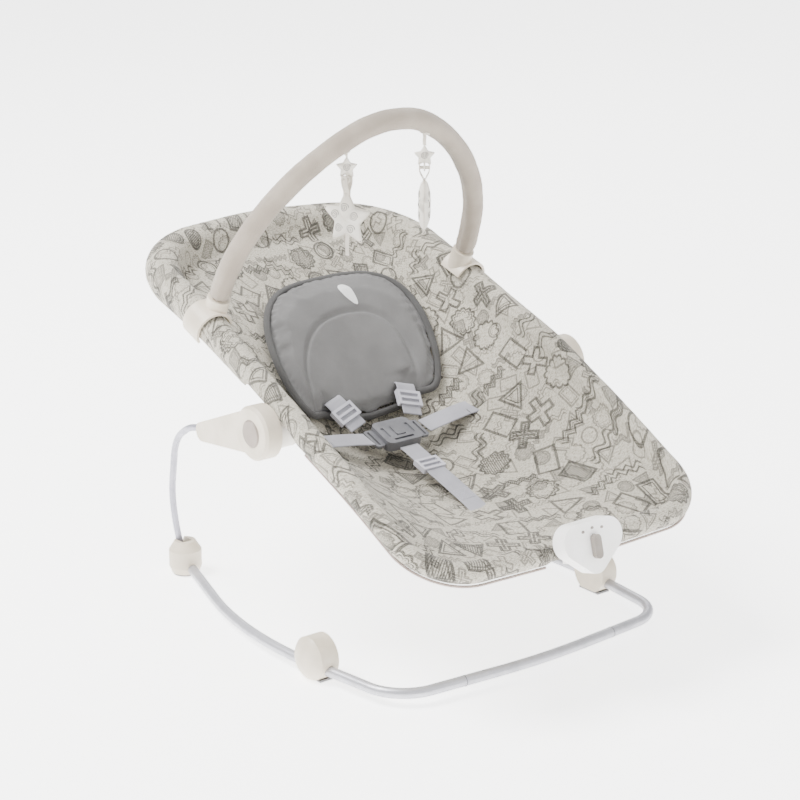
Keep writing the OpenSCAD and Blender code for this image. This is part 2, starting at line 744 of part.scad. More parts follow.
// Radii of the arch from its crown down, each of them turning through the same angle
bar_r = [110, 250, 205];
bar_turn = 30;
bar_foot = [cross_x - 362, 0, 341];
bar_up = [cos(bar_lean), 0, sin(bar_lean)];
// Half width of the arch, and the height of its straight legs, over the point bar_foot
bar_half_width = bar_r[0] * sin(bar_turn) + bar_r[1] * (sin(2 * bar_turn) - sin(bar_turn))
    + bar_r[2] * (1 - sin(2 * bar_turn));
leg_height = bar_height - bar_r[0] * (1 - cos(bar_turn))
    - bar_r[1] * (cos(bar_turn) - cos(2 * bar_turn)) - bar_r[2] * cos(2 * bar_turn);
rod_leg = 22;
sleeve_leg = 1;

// Arcs of a flat curve one after another, each given as its radius and its turn, with a short
// straight collar between each two
module arc_chain(steps, d, bore, i = 0) {
    if (i > 0 && i < len(steps))
        rotate([0, 90, 0]) translate([0, 0, -bend_lap]) linear_extrude(2 * bend_lap) ring_section(d, bore);
    if (i < len(steps)) {
        r = steps[i][0];
        a = steps[i][1];
        translate([0, r, 0]) rotate([0, 0, -90]) rotate_extrude(angle = a, $fn = 96)
            translate([r, 0]) bend_section(d, bore);
        translate([r * sin(a), r * (1 - cos(a)), 0]) rotate([0, 0, a])
            arc_chain(steps, d, bore, i + 1);
    }
}

// The whole arch, with straight legs of the given length
module arch(d, bore, leg) {
    steps = [[bar_r[2], bar_turn], [bar_r[1], bar_turn], [bar_r[0], 2 * bar_turn],
        [bar_r[1], bar_turn], [bar_r[2], bar_turn]];
    top = bar_foot + leg_height * bar_up;
    oriented(top - bar_half_width * along_y, bar_up, cross(bar_up, along_y)) arc_chain(steps, d, bore);
    for (side = [-1, 1]) translate(side * bar_half_width * along_y)
        rod(top + bend_lap * bar_up, top - leg * bar_up, d, bore);
}

module toy_bar_rod() color("#e8e6e0") arch(rod_d, 0, rod_leg);
module toy_bar_sleeve() color("#b6aca2") arch(sleeve_d, rod_d + 0.3, sleeve_leg);

saddle_r = 19.8;
saddle_l = 32;

// Saddle over the roll with a socket for the end of the bar
module bar_clip(side) color("#f2efe9") sided(side) {
    centre = corner_arc(rim_corners[3], rim_corners[4], rim_corners[5], rim_plan[4][2], 2)[1];
    run = unit(rim_corners[5] - rim_corners[3]);
    outward = unit(cross(run, up));
    socket_foot = bar_foot + [0, bar_half_width, 0] + 6 * bar_up;
    difference() {
        union() {
            oriented(centre - saddle_l / 2 * run, outward, run) cylinder(h = saddle_l, r = saddle_r + 3);
            rod(socket_foot, socket_foot + 27 * bar_up, 26);
        }
        oriented(centre - 40 * run, outward, run) cylinder(h = 80, r = saddle_r);
        rod(socket_foot - 8 * bar_up, socket_foot + 40 * bar_up, rod_d + 0.2);
        oriented(centre - 40 * run, outward, run) rotate([0, 0, 25])
            translate([-60, 3, 0]) cube([120, 54, 80]);
    }
}
module left_bar_clip() bar_clip(1);
module right_bar_clip() bar_clip(-1);

// ---------- toys ----------

left_toy_angle = 27;
right_toy_angle = 33;
tab_w = 7;
ribbon_w = 5;
ribbon_t = 1;

// Place on the left half of the arch where it has turned by the given angle
function bar_at(a) = let (
    crown = min(a, bar_turn),
    y = bar_r[0] * sin(crown) + bar_r[1] * (sin(a) - sin(crown)),
    fall = bar_r[0] * (1 - cos(crown)) + bar_r[1] * (cos(crown) - cos(a)))
    bar_foot + [0, y, 0] + (bar_height - fall) * bar_up;
function bar_tangent(a) = cos(a) * along_y - sin(a) * bar_up;
// Lowest point of a ribbon's tab under the bar
function loop_low(a) = let (t = bar_tangent(a)) bar_at(a) - (sleeve_d / 2 + 0.8) * unit(up - (up * t) * t);

// Curved tab that is sewn under the bar's sleeve
module toy_tab(a) {
    t = bar_tangent(a);
    intersection() {
        oriented(bar_at(a) - tab_w / 2 * t, square_to(t), t) difference() {
            cylinder(h = tab_w, r = sleeve_d / 2 + 1.3);
            translate([0, 0, -1]) cylinder(h = tab_w + 2, r = sleeve_d / 2 + 0.1);
        }
        translate(loop_low(a) - [5, 5, 6]) cube([10, 10, 12]);
    }
}

module star_outline(r, waist) polygon([for (k = [0 : 9])
    (k % 2 == 0 ? r : r * waist) * [sin(36 * k), cos(36 * k)]]);

// Star that hangs upright at the given height, turned about the vertical
module star(a, z, r, waist, t, turn) {
    low = loop_low(a);
    translate([low[0], low[1], z]) rotate([90, 0, turn]) translate([0, 0, -t / 2])
        linear_extrude(t) star_outline(r, waist);
}

module ribbon(a, z_top, z_bottom, turn) {
    low = loop_low(a);
    translate([low[0], low[1], z_bottom]) rotate([0, 0, turn])
        translate([-ribbon_w / 2, -ribbon_t / 2, 0]) cube([ribbon_w, ribbon_t, z_top - z_bottom]);
}

small_r = 12;
small_z = 515;
plush_r = 31;
plush_z = 459;
plush_t = 14;
hinge_z = 502;
ring_r = 4.5;
left_hang = 140;
right_hang = -20;

module toy_ribbon(a, turn) {
    toy_tab(a);
    ribbon(a, loop_low(a)[2] - 0.2, small_z + small_r + 0.05, turn);
}

// Small star with a ring under it, the ring's axis at the turn given as hang
module small_star(a, turn, hang) {
    star(a, small_z, small_r, 0.55, 5, turn);
    translate([loop_low(a)[0], loop_low(a)[1], hinge_z]) {
        translate([0, 0, ring_r - 1]) cylinder(h = 4.6, r = 1.2);
        rotate([90, 0, hang]) translate([0, 0, -1.5]) difference() {
            cylinder(h = 3, r = ring_r);
            translate([0, 0, -1]) cylinder(h = 5, r = 2.6);
        }
    }
}

// Plush star on a pin that two ribbons hold at the turn given as hang, with a tail under it
module plush_star(a, hang, tail_z) {
    top = plush_z + plush_r;
    star(a, plush_z, plush_r, 0.5, plush_t, hang);
    ribbon(a, plush_z - plush_r * 0.4, tail_z, hang);
    translate([loop_low(a)[0], loop_low(a)[1], hinge_z]) rotate([0, 0, hang]) {
        rotate([90, 0, 0]) translate([0, 0, -plush_t / 2]) cylinder(h = plush_t, r = 2.5);
        for (s = [-1, 1]) translate([-ribbon_w / 2, s * (plush_t / 2 - 1.5) - 1, top - 4 - hinge_z])
            cube([ribbon_w, 2, hinge_z - top + 4]);
    }
}

module left_toy_ribbon() color("#efece6") toy_ribbon(left_toy_angle, 12);
module left_small_star() color("#efece6") small_star(left_toy_angle, 52, left_hang);
module left_plush_star() color("#efece6") plush_star(left_toy_angle, left_hang, 432);
module right_toy_ribbon() color("#efece6") mirror([0, 1, 0]) toy_ribbon(right_toy_angle, 15);
module right_small_star() color("#efece6") mirror([0, 1, 0]) small_star(right_toy_angle, -52, right_hang);
module right_plush_star() color("#efece6") mirror([0, 1, 0]) plush_star(right_toy_angle, right_hang, 417);

// ---------- vibration unit ----------

unit_at = [cross_x + 80, 0, 167];
unit_depth = 19;
unit_wall = 2;
split = 8;
knob_r = 5;

// The unit's own frame has +Z out of its face, +X down the face and +Y to the left
module unit_frame() translate(unit_at) rotate([0, 90 - unit_lean, 0]) children();

// Broad at the top and narrow at the bottom, with round corners
module unit_outline(inset = 0) hull() {
    for (side = [-1, 1]) translate([-8, side * (unit_w / 2 - 19)]) circle(r = 19 - inset, $fn = 48);
    translate([14, 0]) circle(r = 15 - inset, $fn = 48);
}

module unit_front_shell() color("#f6f5f3") unit_frame() difference() {
    translate([0, 0, -split]) linear_extrude(split) unit_outline();
    translate([0, 0, -split - 1]) linear_extrude(split + 1 - unit_wall) unit_outline(unit_wall);
    translate([0, 0, -split]) cylinder(h = split + 1, d = 6.1);
}

// Tray with a cradle at its back that hugs the rim
module unit_rear_shell() color("#f6f5f3") difference() {
    unit_frame() {
        difference() {
            translate([0, 0, -unit_depth]) linear_extrude(unit_depth - split - eps) unit_outline();
            translate([0, 0, -unit_depth + unit_wall]) linear_extrude(unit_depth) unit_outline(unit_wall);
            for (y = [-26, 26]) translate([-12, y, -unit_depth - 1]) cylinder(h = 4, d = 3);
        }
        translate([-7, -22, -unit_depth - 10]) cube([22, 44, 10 + unit_wall / 2]);
    }
    rod(rim_corners[0] - [3, 60, 0], rim_corners[0] + [-3, 60, 0], frame_tube_d + 5);
    rod(rim_corners[0] - [0, 60, 0], rim_corners[0] + [0, 60, 0], frame_tube_d + 5);
}

// Rotary selector with a raised grip
module unit_knob() color("#aaa49d") unit_frame() {
    translate([0, 0, 0.4]) linear_extrude(6) {
        square([16, 2 * knob_r], center = true);
        for (x = [-8, 8]) translate([x, 0]) circle(r = knob_r);
    }
    translate([0, 0, -5]) cylinder(h = 5.5, d = 6);
}

module unit_switch_board() color("#4f7a54")
    unit_frame() translate([0, 0, -6.6]) rounded_plate(13, 26, 1.4, 2);

motor_at = [14, 0, -10];
module unit_motor() color("#a8a8ad") unit_frame() translate(motor_at) rotate([90, 0, 0]) {
    translate([0, 0, -10]) cylinder(h = 16, d = 11);
    translate([0, 0, 6]) cylinder(h = 6, d = 2);
}

// Half disc on the motor's shaft
module unit_weight() color("#6f6f74") unit_frame() translate(motor_at) rotate([90, 0, 0])
    translate([0, 0, 7]) difference() {
        cylinder(h = 4, r = 5);
        translate([-6, 0, -1]) cube([12, 6, 6]);
        translate([0, 0, -1]) cylinder(h = 6, d = 2.1);
    }

module unit_battery() color("#c9a23a") unit_frame() translate([-16, 0, -9]) rotate([90, 0, 0]) {
    translate([0, 0, -22]) cylinder(h = 43, d = 10.4);
    translate([0, 0, 21 - eps]) cylinder(h = 1.2, d = 4);
}

module unit_screws() color("#9a9aa0") unit_frame() for (y = [-26, 26])
    translate([-12, y, -unit_depth + 0.2]) cylinder(h = 3, d = 2.8);

// ---------- nodes ----------

front_cross_tube();
left_side_tube();
right_side_tube();
left_front_foot();
right_front_foot();
left_rear_foot();
right_rear_foot();
foot_grip_pads();
foot_screws();
left_spring_wire();
right_spring_wire();
left_hub_outer();
right_hub_outer();
left_hub_inner();
right_hub_inner();
left_hub_pin();
right_hub_pin();
left_hub_button();
right_hub_button();
left_lock_gear();
right_lock_gear();
left_lock_spring();
right_lock_spring();
head_frame_tube();
foot_frame_tube();
seat_sling();
rim_piping();
head_pad();
left_shoulder_strap();
right_shoulder_strap();
left_waist_strap();
right_waist_strap();
crotch_strap();
left_shoulder_slider();
right_shoulder_slider();
crotch_slider();
buckle_body();
buckle_cover();
buckle_button();
left_tongue();
right_tongue();
left_bar_clip();
right_bar_clip();
toy_bar_rod();
toy_bar_sleeve();
left_toy_ribbon();
left_small_star();
left_plush_star();
right_toy_ribbon();
right_small_star();
right_plush_star();
unit_front_shell();
unit_rear_shell();
unit_knob();
unit_motor();
unit_weight();
unit_switch_board();
unit_battery();
unit_screws();
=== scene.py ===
"""Looks of a baby bouncer: soft goods, finishes, floor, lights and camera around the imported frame."""
from math import atan2, copysign, cos, exp, hypot, pi, radians, sin, sqrt, tan, tau
import bpy
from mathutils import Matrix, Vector, noise


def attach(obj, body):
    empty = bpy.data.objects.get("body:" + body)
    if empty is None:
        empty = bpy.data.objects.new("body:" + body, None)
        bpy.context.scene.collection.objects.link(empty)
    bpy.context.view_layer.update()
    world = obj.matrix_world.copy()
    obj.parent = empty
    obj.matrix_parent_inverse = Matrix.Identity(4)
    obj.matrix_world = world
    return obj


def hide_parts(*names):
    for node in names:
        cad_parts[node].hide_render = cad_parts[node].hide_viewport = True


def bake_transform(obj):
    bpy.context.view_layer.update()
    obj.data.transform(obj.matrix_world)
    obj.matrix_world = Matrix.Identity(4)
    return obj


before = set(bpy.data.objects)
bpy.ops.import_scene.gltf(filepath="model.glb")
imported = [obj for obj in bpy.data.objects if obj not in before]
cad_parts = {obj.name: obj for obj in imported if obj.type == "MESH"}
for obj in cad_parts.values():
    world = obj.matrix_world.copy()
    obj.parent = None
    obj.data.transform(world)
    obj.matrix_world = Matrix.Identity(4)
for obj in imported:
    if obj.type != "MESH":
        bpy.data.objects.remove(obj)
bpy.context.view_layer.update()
MM = 0.001
UP = Vector((0, 0, 1))
ALONG_Y = Vector((0, 1, 0))


# ---- small helpers ----

def clamp(t, low=0.0, high=1.0):
    return max(low, min(high, t))


def smooth(t):
    c = clamp(t)
    return c * c * (3 - 2 * c)


def mix(a, b, t):
    return a + (b - a) * t


def wobble(x, y, z, seed=0.0):
    return noise.noise(Vector((x + 17.3 * seed, y - 9.1 * seed, z + 4.7 * seed)))


def rgb(hexa):
    """Linear colour of an sRGB hex value."""
    parts = [int(hexa[i:i + 2], 16) / 255 for i in (1, 3, 5)]
    return tuple([p / 12.92 if p < 0.04045 else ((p + 0.055) / 1.055) ** 2.4 for p in parts] + [1.0])


def new_object(name, data):
    obj = bpy.data.objects.new(name, data)
    bpy.context.scene.collection.objects.link(obj)
    return obj


def mesh_piece(name, verts_mm, faces):
    mesh = bpy.data.meshes.new(name)
    mesh.from_pydata([Vector(p) * MM for p in verts_mm], [], faces)
    mesh.validate()
    mesh.polygons.foreach_set("use_smooth", [True] * len(mesh.polygons))
    return new_object(name, mesh)


def put_uv(obj, uv_of_vertex):
    layer = obj.data.uv_layers.new(name="cloth")
    for loop in obj.data.loops:
        layer.data[loop.index].uv = uv_of_vertex[loop.vertex_index]


def grid_faces(rows, cols, wrap_cols=False, wrap_rows=False):
    faces = []
    for r in range(rows if wrap_rows else rows - 1):
        for c in range(cols if wrap_cols else cols - 1):
            d, e = (r + 1) % rows, (c + 1) % cols
            faces.append((r * cols + c, r * cols + e, d * cols + e, d * cols + c))
    return faces


def frames_along(points, start_side):
    """Side and normal vectors at each point of a path, carried along it without twist."""
    n = len(points)
    tangents = [(points[min(n - 1, i + 1)] - points[max(0, i - 1)]).normalized() for i in range(n)]
    side = start_side
    out = []
    for t in tangents:
        side = (side - t * side.dot(t)).normalized()
        out.append((t, side, t.cross(side)))
    return out


def sweep(name, points, section, start_side, caps=True):
    """Closed section, a list of (side, normal) offsets in mm, swept along a path."""
    frames = frames_along(points, start_side)
    m = len(section)
    verts = []
    uvs = []
    run = 0.0
    for i, p in enumerate(points):
        if i:
            run += (points[i] - points[i - 1]).length
        _, side, up = frames[i]
        for j, (a, b) in enumerate(section):
            verts.append(p + side * a + up * b)
            uvs.append((j / m, run * MM))
    faces = grid_faces(len(points), m, wrap_cols=True)
    if caps:
        faces.append(tuple(range(m - 1, -1, -1)))
        faces.append(tuple(range(len(verts) - m, len(verts))))
    obj = mesh_piece(name, verts, faces)
    put_uv(obj, uvs)
    return obj


def oval_section(a, b, sides):
    return [(a * cos(tau * k / sides), b * sin(tau * k / sides)) for k in range(sides)]


def two_faced(upper):
    """A section from its upper face, mirrored below."""
    return upper + [(a, -b) for a, b in reversed(upper[1:-1])]


def circle_points(centre, across, up, r, sides):
    """Points round a circle, the first repeated at the end."""
    return [centre + across * r * cos(tau * k / sides) + up * r * sin(tau * k / sides)
            for k in range(sides + 1)]


def path_tube(name, points, r, sides=8, start_side=None):
    first = (points[1] - points[0]).normalized()
    side = start_side or first.cross(UP if abs(first.z) < 0.9 else ALONG_Y).normalized()
    return sweep(name, points, oval_section(r, r, sides), side)


def spline_points(knots, per_span=8):
    """Catmull-Rom points through the knots."""
    pts = [Vector(k) for k in knots]
    ext = [pts[0] * 2 - pts[1]] + pts + [pts[-1] * 2 - pts[-2]]
    out = []
    for i in range(1, len(ext) - 2):
        a, b, c, d = ext[i - 1:i + 3]
        for k in range(per_span):
            t = k / per_span
            out.append(0.5 * ((2 * b) + (c - a) * t + (2 * a - 5 * b + 4 * c - d) * t * t
                              + (3 * b - a - 3 * c + d) * t ** 3))
    out.append(pts[-1])
    return out


def joined(name, objects):
    """Joins loose meshes into one piece."""
    verts, faces = [], []
    for obj in objects:
        base = len(verts)
        verts += [v.co.copy() / MM for v in obj.data.vertices]
        faces += [tuple(base + i for i in p.vertices) for p in obj.data.polygons]
        bpy.data.objects.remove(obj)
    return mesh_piece(name, verts, faces)


def dress(obj, finish):
    obj.data.materials.clear()
    obj.data.materials.append(MAT[finish])


# ---- node helpers ----

class Tree:
    """A material's node tree with short calls for the nodes it needs."""

    def __init__(self, name):
        self.material = bpy.data.materials.new(name)
        self.material.use_nodes = True
        self.tree = self.material.node_tree
        self.tree.nodes.clear()
        self.out = self.node("ShaderNodeOutputMaterial")
        self.shader = self.node("ShaderNodeBsdfPrincipled")
        self.tree.links.new(self.shader.outputs[0], self.out.inputs["Surface"])

    def node(self, kind, inputs=None, **props):
        made = self.tree.nodes.new(kind)
        for key, value in props.items():
            setattr(made, key, value)
        for key, value in (inputs or {}).items():
            self.put(made.inputs[key], value)
        return made

    def put(self, socket, value):
        if isinstance(value, bpy.types.NodeSocket):
            self.tree.links.new(value, socket)
        else:
            socket.default_value = value

    def math(self, op, a, b=0.0, c=0.0):
        made = self.node("ShaderNodeMath", operation=op)
        for socket, value in zip(made.inputs, (a, b, c)):
            self.put(socket, value)
        return made.outputs[0]

    def plus(self, a, b):
        return self.math("ADD", a, b)

    def minus(self, a, b):
        return self.math("SUBTRACT", a, b)

    def times(self, a, b):
        return self.math("MULTIPLY", a, b)

    def most(self, a, b):
        return self.math("MAXIMUM", a, b)

    def above(self, a, b):
        return self.math("GREATER_THAN", a, b)

    def absolute(self, a):
        return self.math("ABSOLUTE", a)

    def sine(self, a):
        return self.math("SINE", a)

    def remap(self, value, low, high, to_low=0.0, to_high=1.0):
        made = self.node("ShaderNodeMapRange", {0: value, 1: low, 2: high, 3: to_low, 4: to_high})
        made.interpolation_type = "SMOOTHSTEP"
        return made.outputs[0]

    def blend(self, share, a, b):
        made = self.node("ShaderNodeMix", data_type="RGBA")
        self.put(made.inputs[0], share)
        self.put(made.inputs[6], a)
        self.put(made.inputs[7], b)
        return made.outputs[2]

    def noise(self, vector, scale, detail=2.0, rough=0.5):
        return self.node("ShaderNodeTexNoise", {"Vector": vector, "Scale": scale, "Detail": detail,
                                                "Roughness": rough}).outputs[0]

    def object_place(self):
        return self.node("ShaderNodeTexCoord").outputs["Object"]

    def uv_place(self):
        return self.node("ShaderNodeUVMap", uv_map="cloth").outputs[0]

    def stretched(self, vector, scale):
        return self.node("ShaderNodeMapping", {0: vector, 3: scale}).outputs[0]

    def bump(self, height, distance, strength=1.0):
        made = self.node("ShaderNodeBump", {"Strength": strength, "Distance": distance, "Height": height})
        self.put(self.shader.inputs["Normal"], made.outputs[0])

    def finish(self, colour, roughness, metallic=0.0, sheen=0.0):
        self.put(self.shader.inputs["Base Color"], colour)
        self.put(self.shader.inputs["Roughness"], roughness)
        self.shader.inputs["Metallic"].default_value = metallic
        self.shader.inputs["Sheen Weight"].default_value = sheen
        self.shader.inputs["Sheen Roughness"].default_value = 0.5
        return self.material


def moulded(name, colour, tone, roughness=0.38, grain=900.0):
    """Moulded plastic: fine texture, faint mottling and scuffed gloss."""
    t = Tree(name)
    place = t.object_place()
    cloud = t.noise(place, 35.0, 3.0)
    fine = t.noise(place, grain, 2.0)
    scuff = t.noise(t.stretched(place, (220.0, 220.0, 40.0)), 1.0, 4.0, 0.7)
    shade = t.blend(t.remap(cloud, 0.3, 0.7), rgb(colour), rgb(tone))
    shade = t.blend(t.remap(scuff, 0.66, 0.8, 0.0, 0.25), shade, rgb(tone))
    gloss = t.plus(t.remap(scuff, 0.35, 0.75, roughness - 0.06, roughness + 0.12),
                   t.times(fine, 0.06))
    t.bump(t.plus(fine, t.times(cloud, 0.6)), 0.00012, 0.5)
    return t.finish(shade, gloss)


def metal(name, colour, tone, roughness=0.36, metallic=0.75):
    """Lacquered or bare metal with drawn streaks and small marks."""
    t = Tree(name)
    place = t.object_place()
    streak = t.noise(t.stretched(place, (60.0, 60.0, 60.0)), 1.0, 6.0, 0.75)
    flake = t.noise(place, 2600.0, 1.0)
    shade = t.blend(t.remap(streak, 0.35, 0.7), rgb(colour), rgb(tone))
    gloss = t.plus(t.remap(streak, 0.3, 0.75, roughness - 0.06, roughness + 0.1),
                   t.times(flake, 0.08))
    t.bump(t.plus(flake, streak), 0.00005, 0.5)
    return t.finish(shade, gloss, metallic)


def weave_height(t, place, across, along):
    """Plain weave: two sets of threads that pass over and under each other."""
    parts = t.node("ShaderNodeSeparateXYZ", {0: place})
    warp = t.sine(t.times(parts.outputs[0], across))
    weft = t.sine(t.times(parts.outputs[1], along))
    return t.plus(t.absolute(warp), t.absolute(weft))


def cloth(name, colour, tone, thread=(2600.0, 2600.0), flecks=0.35, sheen=0.25, rough=0.88, depth=0.0003,
          uv=False):
    """Woven or knitted cloth with threads, painted shade in the gaps between them, flecks and soft colour
    drift.
    """
    t = Tree(name)
    place = t.uv_place() if uv else t.object_place()
    body = t.object_place()
    threads = weave_height(t, place, *thread)
    fleck = t.noise(body, 1500.0, 2.0, 0.6)
    drift = t.noise(body, 28.0, 3.0)
    shade = t.blend(t.remap(drift, 0.3, 0.7, 0.0, 0.6), rgb(colour), rgb(tone))
    shade = t.blend(t.remap(fleck, 0.5, 0.68, 0.0, flecks), shade, rgb(tone))
    # painted shade: colour darkened towards the tone where the thread height is low, in the gaps of the weave
    shade = t.blend(t.remap(threads, 0.2, 0.9, 0.28, 0.0), shade, rgb(tone))
    t.bump(t.plus(threads, t.times(fleck, 1.2)), depth, 0.6)
    return t.finish(shade, t.remap(fleck, 0.2, 0.8, rough - 0.08, rough + 0.06), 0.0, sheen)


def outline(t, distance, width):
    """1 on a line of the given half width where the distance is zero."""
    return t.remap(t.absolute(distance), width * 0.6, width, 1.0, 0.0)


def printed_motifs(t, place, per_metre, seed):
    """Scattered line motifs: rings, scalloped rings, triangles, crosses, zigzags, waves and bars."""
    shifted = t.node("ShaderNodeMapping", {0: place, 1: (seed, seed * 1.7, 0.0),
                                           3: (per_metre, per_metre, 1.0)}).outputs[0]
    cells = t.node("ShaderNodeTexVoronoi", {"Vector": shifted, "Scale": 1.0, "Randomness": 0.35},
                   voronoi_dimensions="2D").outputs
    offset = t.node("ShaderNodeVectorMath", {0: shifted, 1: cells["Position"]}, operation="SUBTRACT")
    pick = t.node("ShaderNodeSeparateColor", {0: cells["Color"]}).outputs
    choice, weight = pick[1], pick[2]
    turn = t.math("MULTIPLY_ADD", pick[0], 1.6, -0.8)
    local = t.node("ShaderNodeVectorRotate", {"Vector": offset.outputs[0], "Angle": turn},
                   rotation_type="Z_AXIS")
    xy = t.node("ShaderNodeSeparateXYZ", {0: local.outputs[0]}).outputs
    x, y = t.times(xy[0], 0.82), t.times(xy[1], 0.82)
    ax, ay = t.absolute(x), t.absolute(y)
    reach = t.math("SQRT", t.plus(t.times(x, x), t.times(y, y)))
    scallop = t.times(t.absolute(t.sine(t.times(t.math("ARCTAN2", y, x), 6.0))), 0.06)
    ring = t.minus(reach, 0.27)
    scalloped = t.minus(t.minus(reach, 0.3), scallop)
    slant = t.plus(t.times(ax, 0.87), t.times(y, 0.5))
    triangle = t.minus(t.most(t.times(y, -1.0), slant), 0.19)
    cross = t.math("MINIMUM", t.most(t.minus(ax, 0.09), t.minus(ay, 0.34)),
                   t.most(t.minus(ax, 0.32), t.minus(ay, 0.09)))
    saw = t.math("PINGPONG", t.plus(x, 2.0), 0.13)
    zigzag = t.minus(t.absolute(t.minus(t.plus(y, 0.065), saw)), 0.075)
    ripple = t.times(t.sine(t.times(x, 15.0)), 0.08)
    wave = t.minus(t.absolute(t.minus(y, ripple)), 0.07)
    bars = t.minus(t.most(t.times(ax, 0.95), t.minus(ay, 0.12)), 0.22)
    trim = t.remap(t.most(ax, ay), 0.41, 0.45, 1.0, 0.0)
    shapes = [ring, scalloped, triangle, cross, zigzag, wave, bars]
    total = None
    fills = None
    for k, shape in enumerate(shapes):
        low, high = k / len(shapes), (k + 1) / len(shapes)
        chosen = t.times(t.above(choice, low), t.math("LESS_THAN", choice, high))
        line = t.times(outline(t, shape, 0.04), chosen)
        inside = t.times(t.remap(shape, -0.02, 0.0, 1.0, 0.0), chosen)
        inner = t.times(outline(t, t.plus(shape, 0.08), 0.02), chosen)
        line = t.most(line, t.times(inner, t.above(weight, 0.35)))
        total = line if total is None else t.plus(total, line)
        fills = inside if fills is None else t.plus(fills, inside)
    stitch = t.sine(t.times(t.plus(x, y), 105.0))
    stitch2 = t.sine(t.times(t.minus(x, y), 105.0))
    dashes = t.remap(t.times(stitch, stitch2), -0.5, 0.1, 0.62, 1.0)
    hatch = t.remap(t.sine(t.times(t.plus(x, t.times(y, 0.4)), 120.0)), 0.0, 0.6, 0.25, 0.9)
    body = t.times(t.times(fills, hatch), t.above(weight, 0.72))
    return t.times(t.most(t.times(total, dashes), body), trim), weight


def cover_fabric():
    """Grey-beige melange cloth with a stitched-look print in dark browns and black."""
    t = Tree("cover_fabric")
    place = t.uv_place()
    body = t.object_place()
    threads = weave_height(t, place, 3000.0, 2300.0)
    heather = t.noise(t.stretched(place, (260.0, 1300.0, 1.0)), 1.0, 3.0, 0.6)
    heather2 = t.noise(t.stretched(place, (1300.0, 240.0, 1.0)), 1.0, 3.0, 0.6)
    drift = t.noise(body, 14.0, 2.0)
    shade = t.blend(t.remap(heather, 0.42, 0.66), rgb("#c9c3b4"), rgb("#726c5e"))
    shade = t.blend(t.remap(heather2, 0.5, 0.7, 0.0, 0.55), shade, rgb("#ddd8ca"))
    shade = t.blend(t.remap(drift, 0.3, 0.7, 0.0, 0.18), shade, rgb("#aba595"))
    big, tone = printed_motifs(t, place, 24.0, 0.37)
    small, tone2 = printed_motifs(t, place, 37.0, 4.21)
    worn = t.remap(t.noise(place, 900.0, 2.0), 0.3, 0.62, 0.78, 1.0)
    dark = t.blend(t.remap(tone, 0.15, 0.85), rgb("#24211d"), rgb("#030303"))
    pale = t.blend(t.remap(tone2, 0.2, 0.9), rgb("#4a453e"), rgb("#1b1916"))
    shade = t.blend(t.times(t.times(small, worn), 0.75), shade, pale)
    shade = t.blend(t.times(t.times(big, worn), 0.95), shade, dark)
    height = t.plus(t.times(threads, 0.8), t.times(heather, 1.4))
    height = t.plus(height, t.times(big, 0.5))
    speck = t.noise(place, 1100.0, 2.0, 0.7)
    shade = t.blend(t.remap(speck, 0.5, 0.64, 0.0, 0.55), shade, rgb("#5f594b"))
    t.bump(height, 0.00035, 0.6)
    return t.finish(shade, t.remap(heather, 0.2, 0.8, 0.82, 0.94), 0.0, 0.08)


HARD = {
    "tube_steel": metal("tube_lacquer", "#b9b9bf", "#a9a9af", 0.34, 0.65),
    "spring_steel": metal("wire_lacquer", "#a3a2ad", "#93929d", 0.36, 0.6),
    "bare_steel": metal("bare_steel", "#c2c2c6", "#8f8f94", 0.3, 0.95),
    "white_shell": moulded("white_shell", "#d3c8b6", "#c5baa7"),
    "inner_shell": moulded("inner_shell", "#e4dfd6", "#d3cdc3", 0.45),
    "taupe_button": moulded("taupe_button", "#8f8379", "#80756b", 0.42),
    "dark_gear": moulded("dark_gear", "#55565a", "#404145", 0.4),
    "grip_rubber": moulded("grip_rubber", "#8a8a8c", "#6f6f72", 0.75, 500.0),
    "buckle_plastic": moulded("buckle_plastic", "#6b6b6f", "#5c5c60", 0.42),
    "slider_plastic": moulded("slider_plastic", "#bdbcc4", "#aeadb5", 0.4),
    "rod_plastic": moulded("rod_plastic", "#e8e6e0", "#d8d5cd", 0.45),
    "unit_shell": moulded("unit_shell", "#fdfcfa", "#f5f3ef", 0.3),
    "knob_plastic": moulded("knob_plastic", "#8c857d", "#7d756d", 0.4),
    "board": moulded("switch_board", "#4c7a52", "#3b6341", 0.5),
    "cell": metal("cell_wrap", "#c8a038", "#a98423", 0.35, 0.6),
}
MAT = {
    "cover": cover_fabric(),
    "piping": cloth("piping_cord", "#b3a299", "#94857c", (2200.0, 5200.0), 0.3, 0.2, uv=True),
    "pad": cloth("pad_knit", "#6f6e6d", "#626160", (4200.0, 4200.0), 0.3, 0.12),
    "binding": cloth("pad_binding", "#4b4a49", "#3e3d3c", (3000.0, 7000.0), 0.2, 0.1),
    "webbing": cloth("webbing_weave", "#a3a2a9", "#85848c", (1.0, 2600.0), 0.25, 0.25, 0.8, 0.0004,
                     uv=True),
    "thread": cloth("stitch_thread", "#c5c3cd", "#9a98a4", (9000.0, 9000.0)),
    "sleeve": cloth("sleeve_jersey", "#a3988a", "#8b8073", (3600.0, 3600.0), 0.28, 0.2),
    "plush": cloth("toy_velour", "#f4efe4", "#e2dacb", (5200.0, 5200.0), 0.3, 0.3, 0.92, 0.0005),
    "spiral": cloth("toy_embroidery", "#6f675f", "#4f4842", (9000.0, 9000.0), 0.3, 0.2),
    "satin": cloth("toy_satin", "#e2dbce", "#c2b9aa", (9000.0, 2400.0), 0.1, 0.2, 0.55, 0.0002),
    "mark": cloth("pad_mark", "#f2f2f0", "#dcdcda", (7000.0, 7000.0), 0.1, 0.2),
    "floor": cloth("floor_paper", "#fbfbfa", "#f7f7f5", (900.0, 900.0), 0.05, 0.0, 0.9, 0.00005),
    **HARD,
}


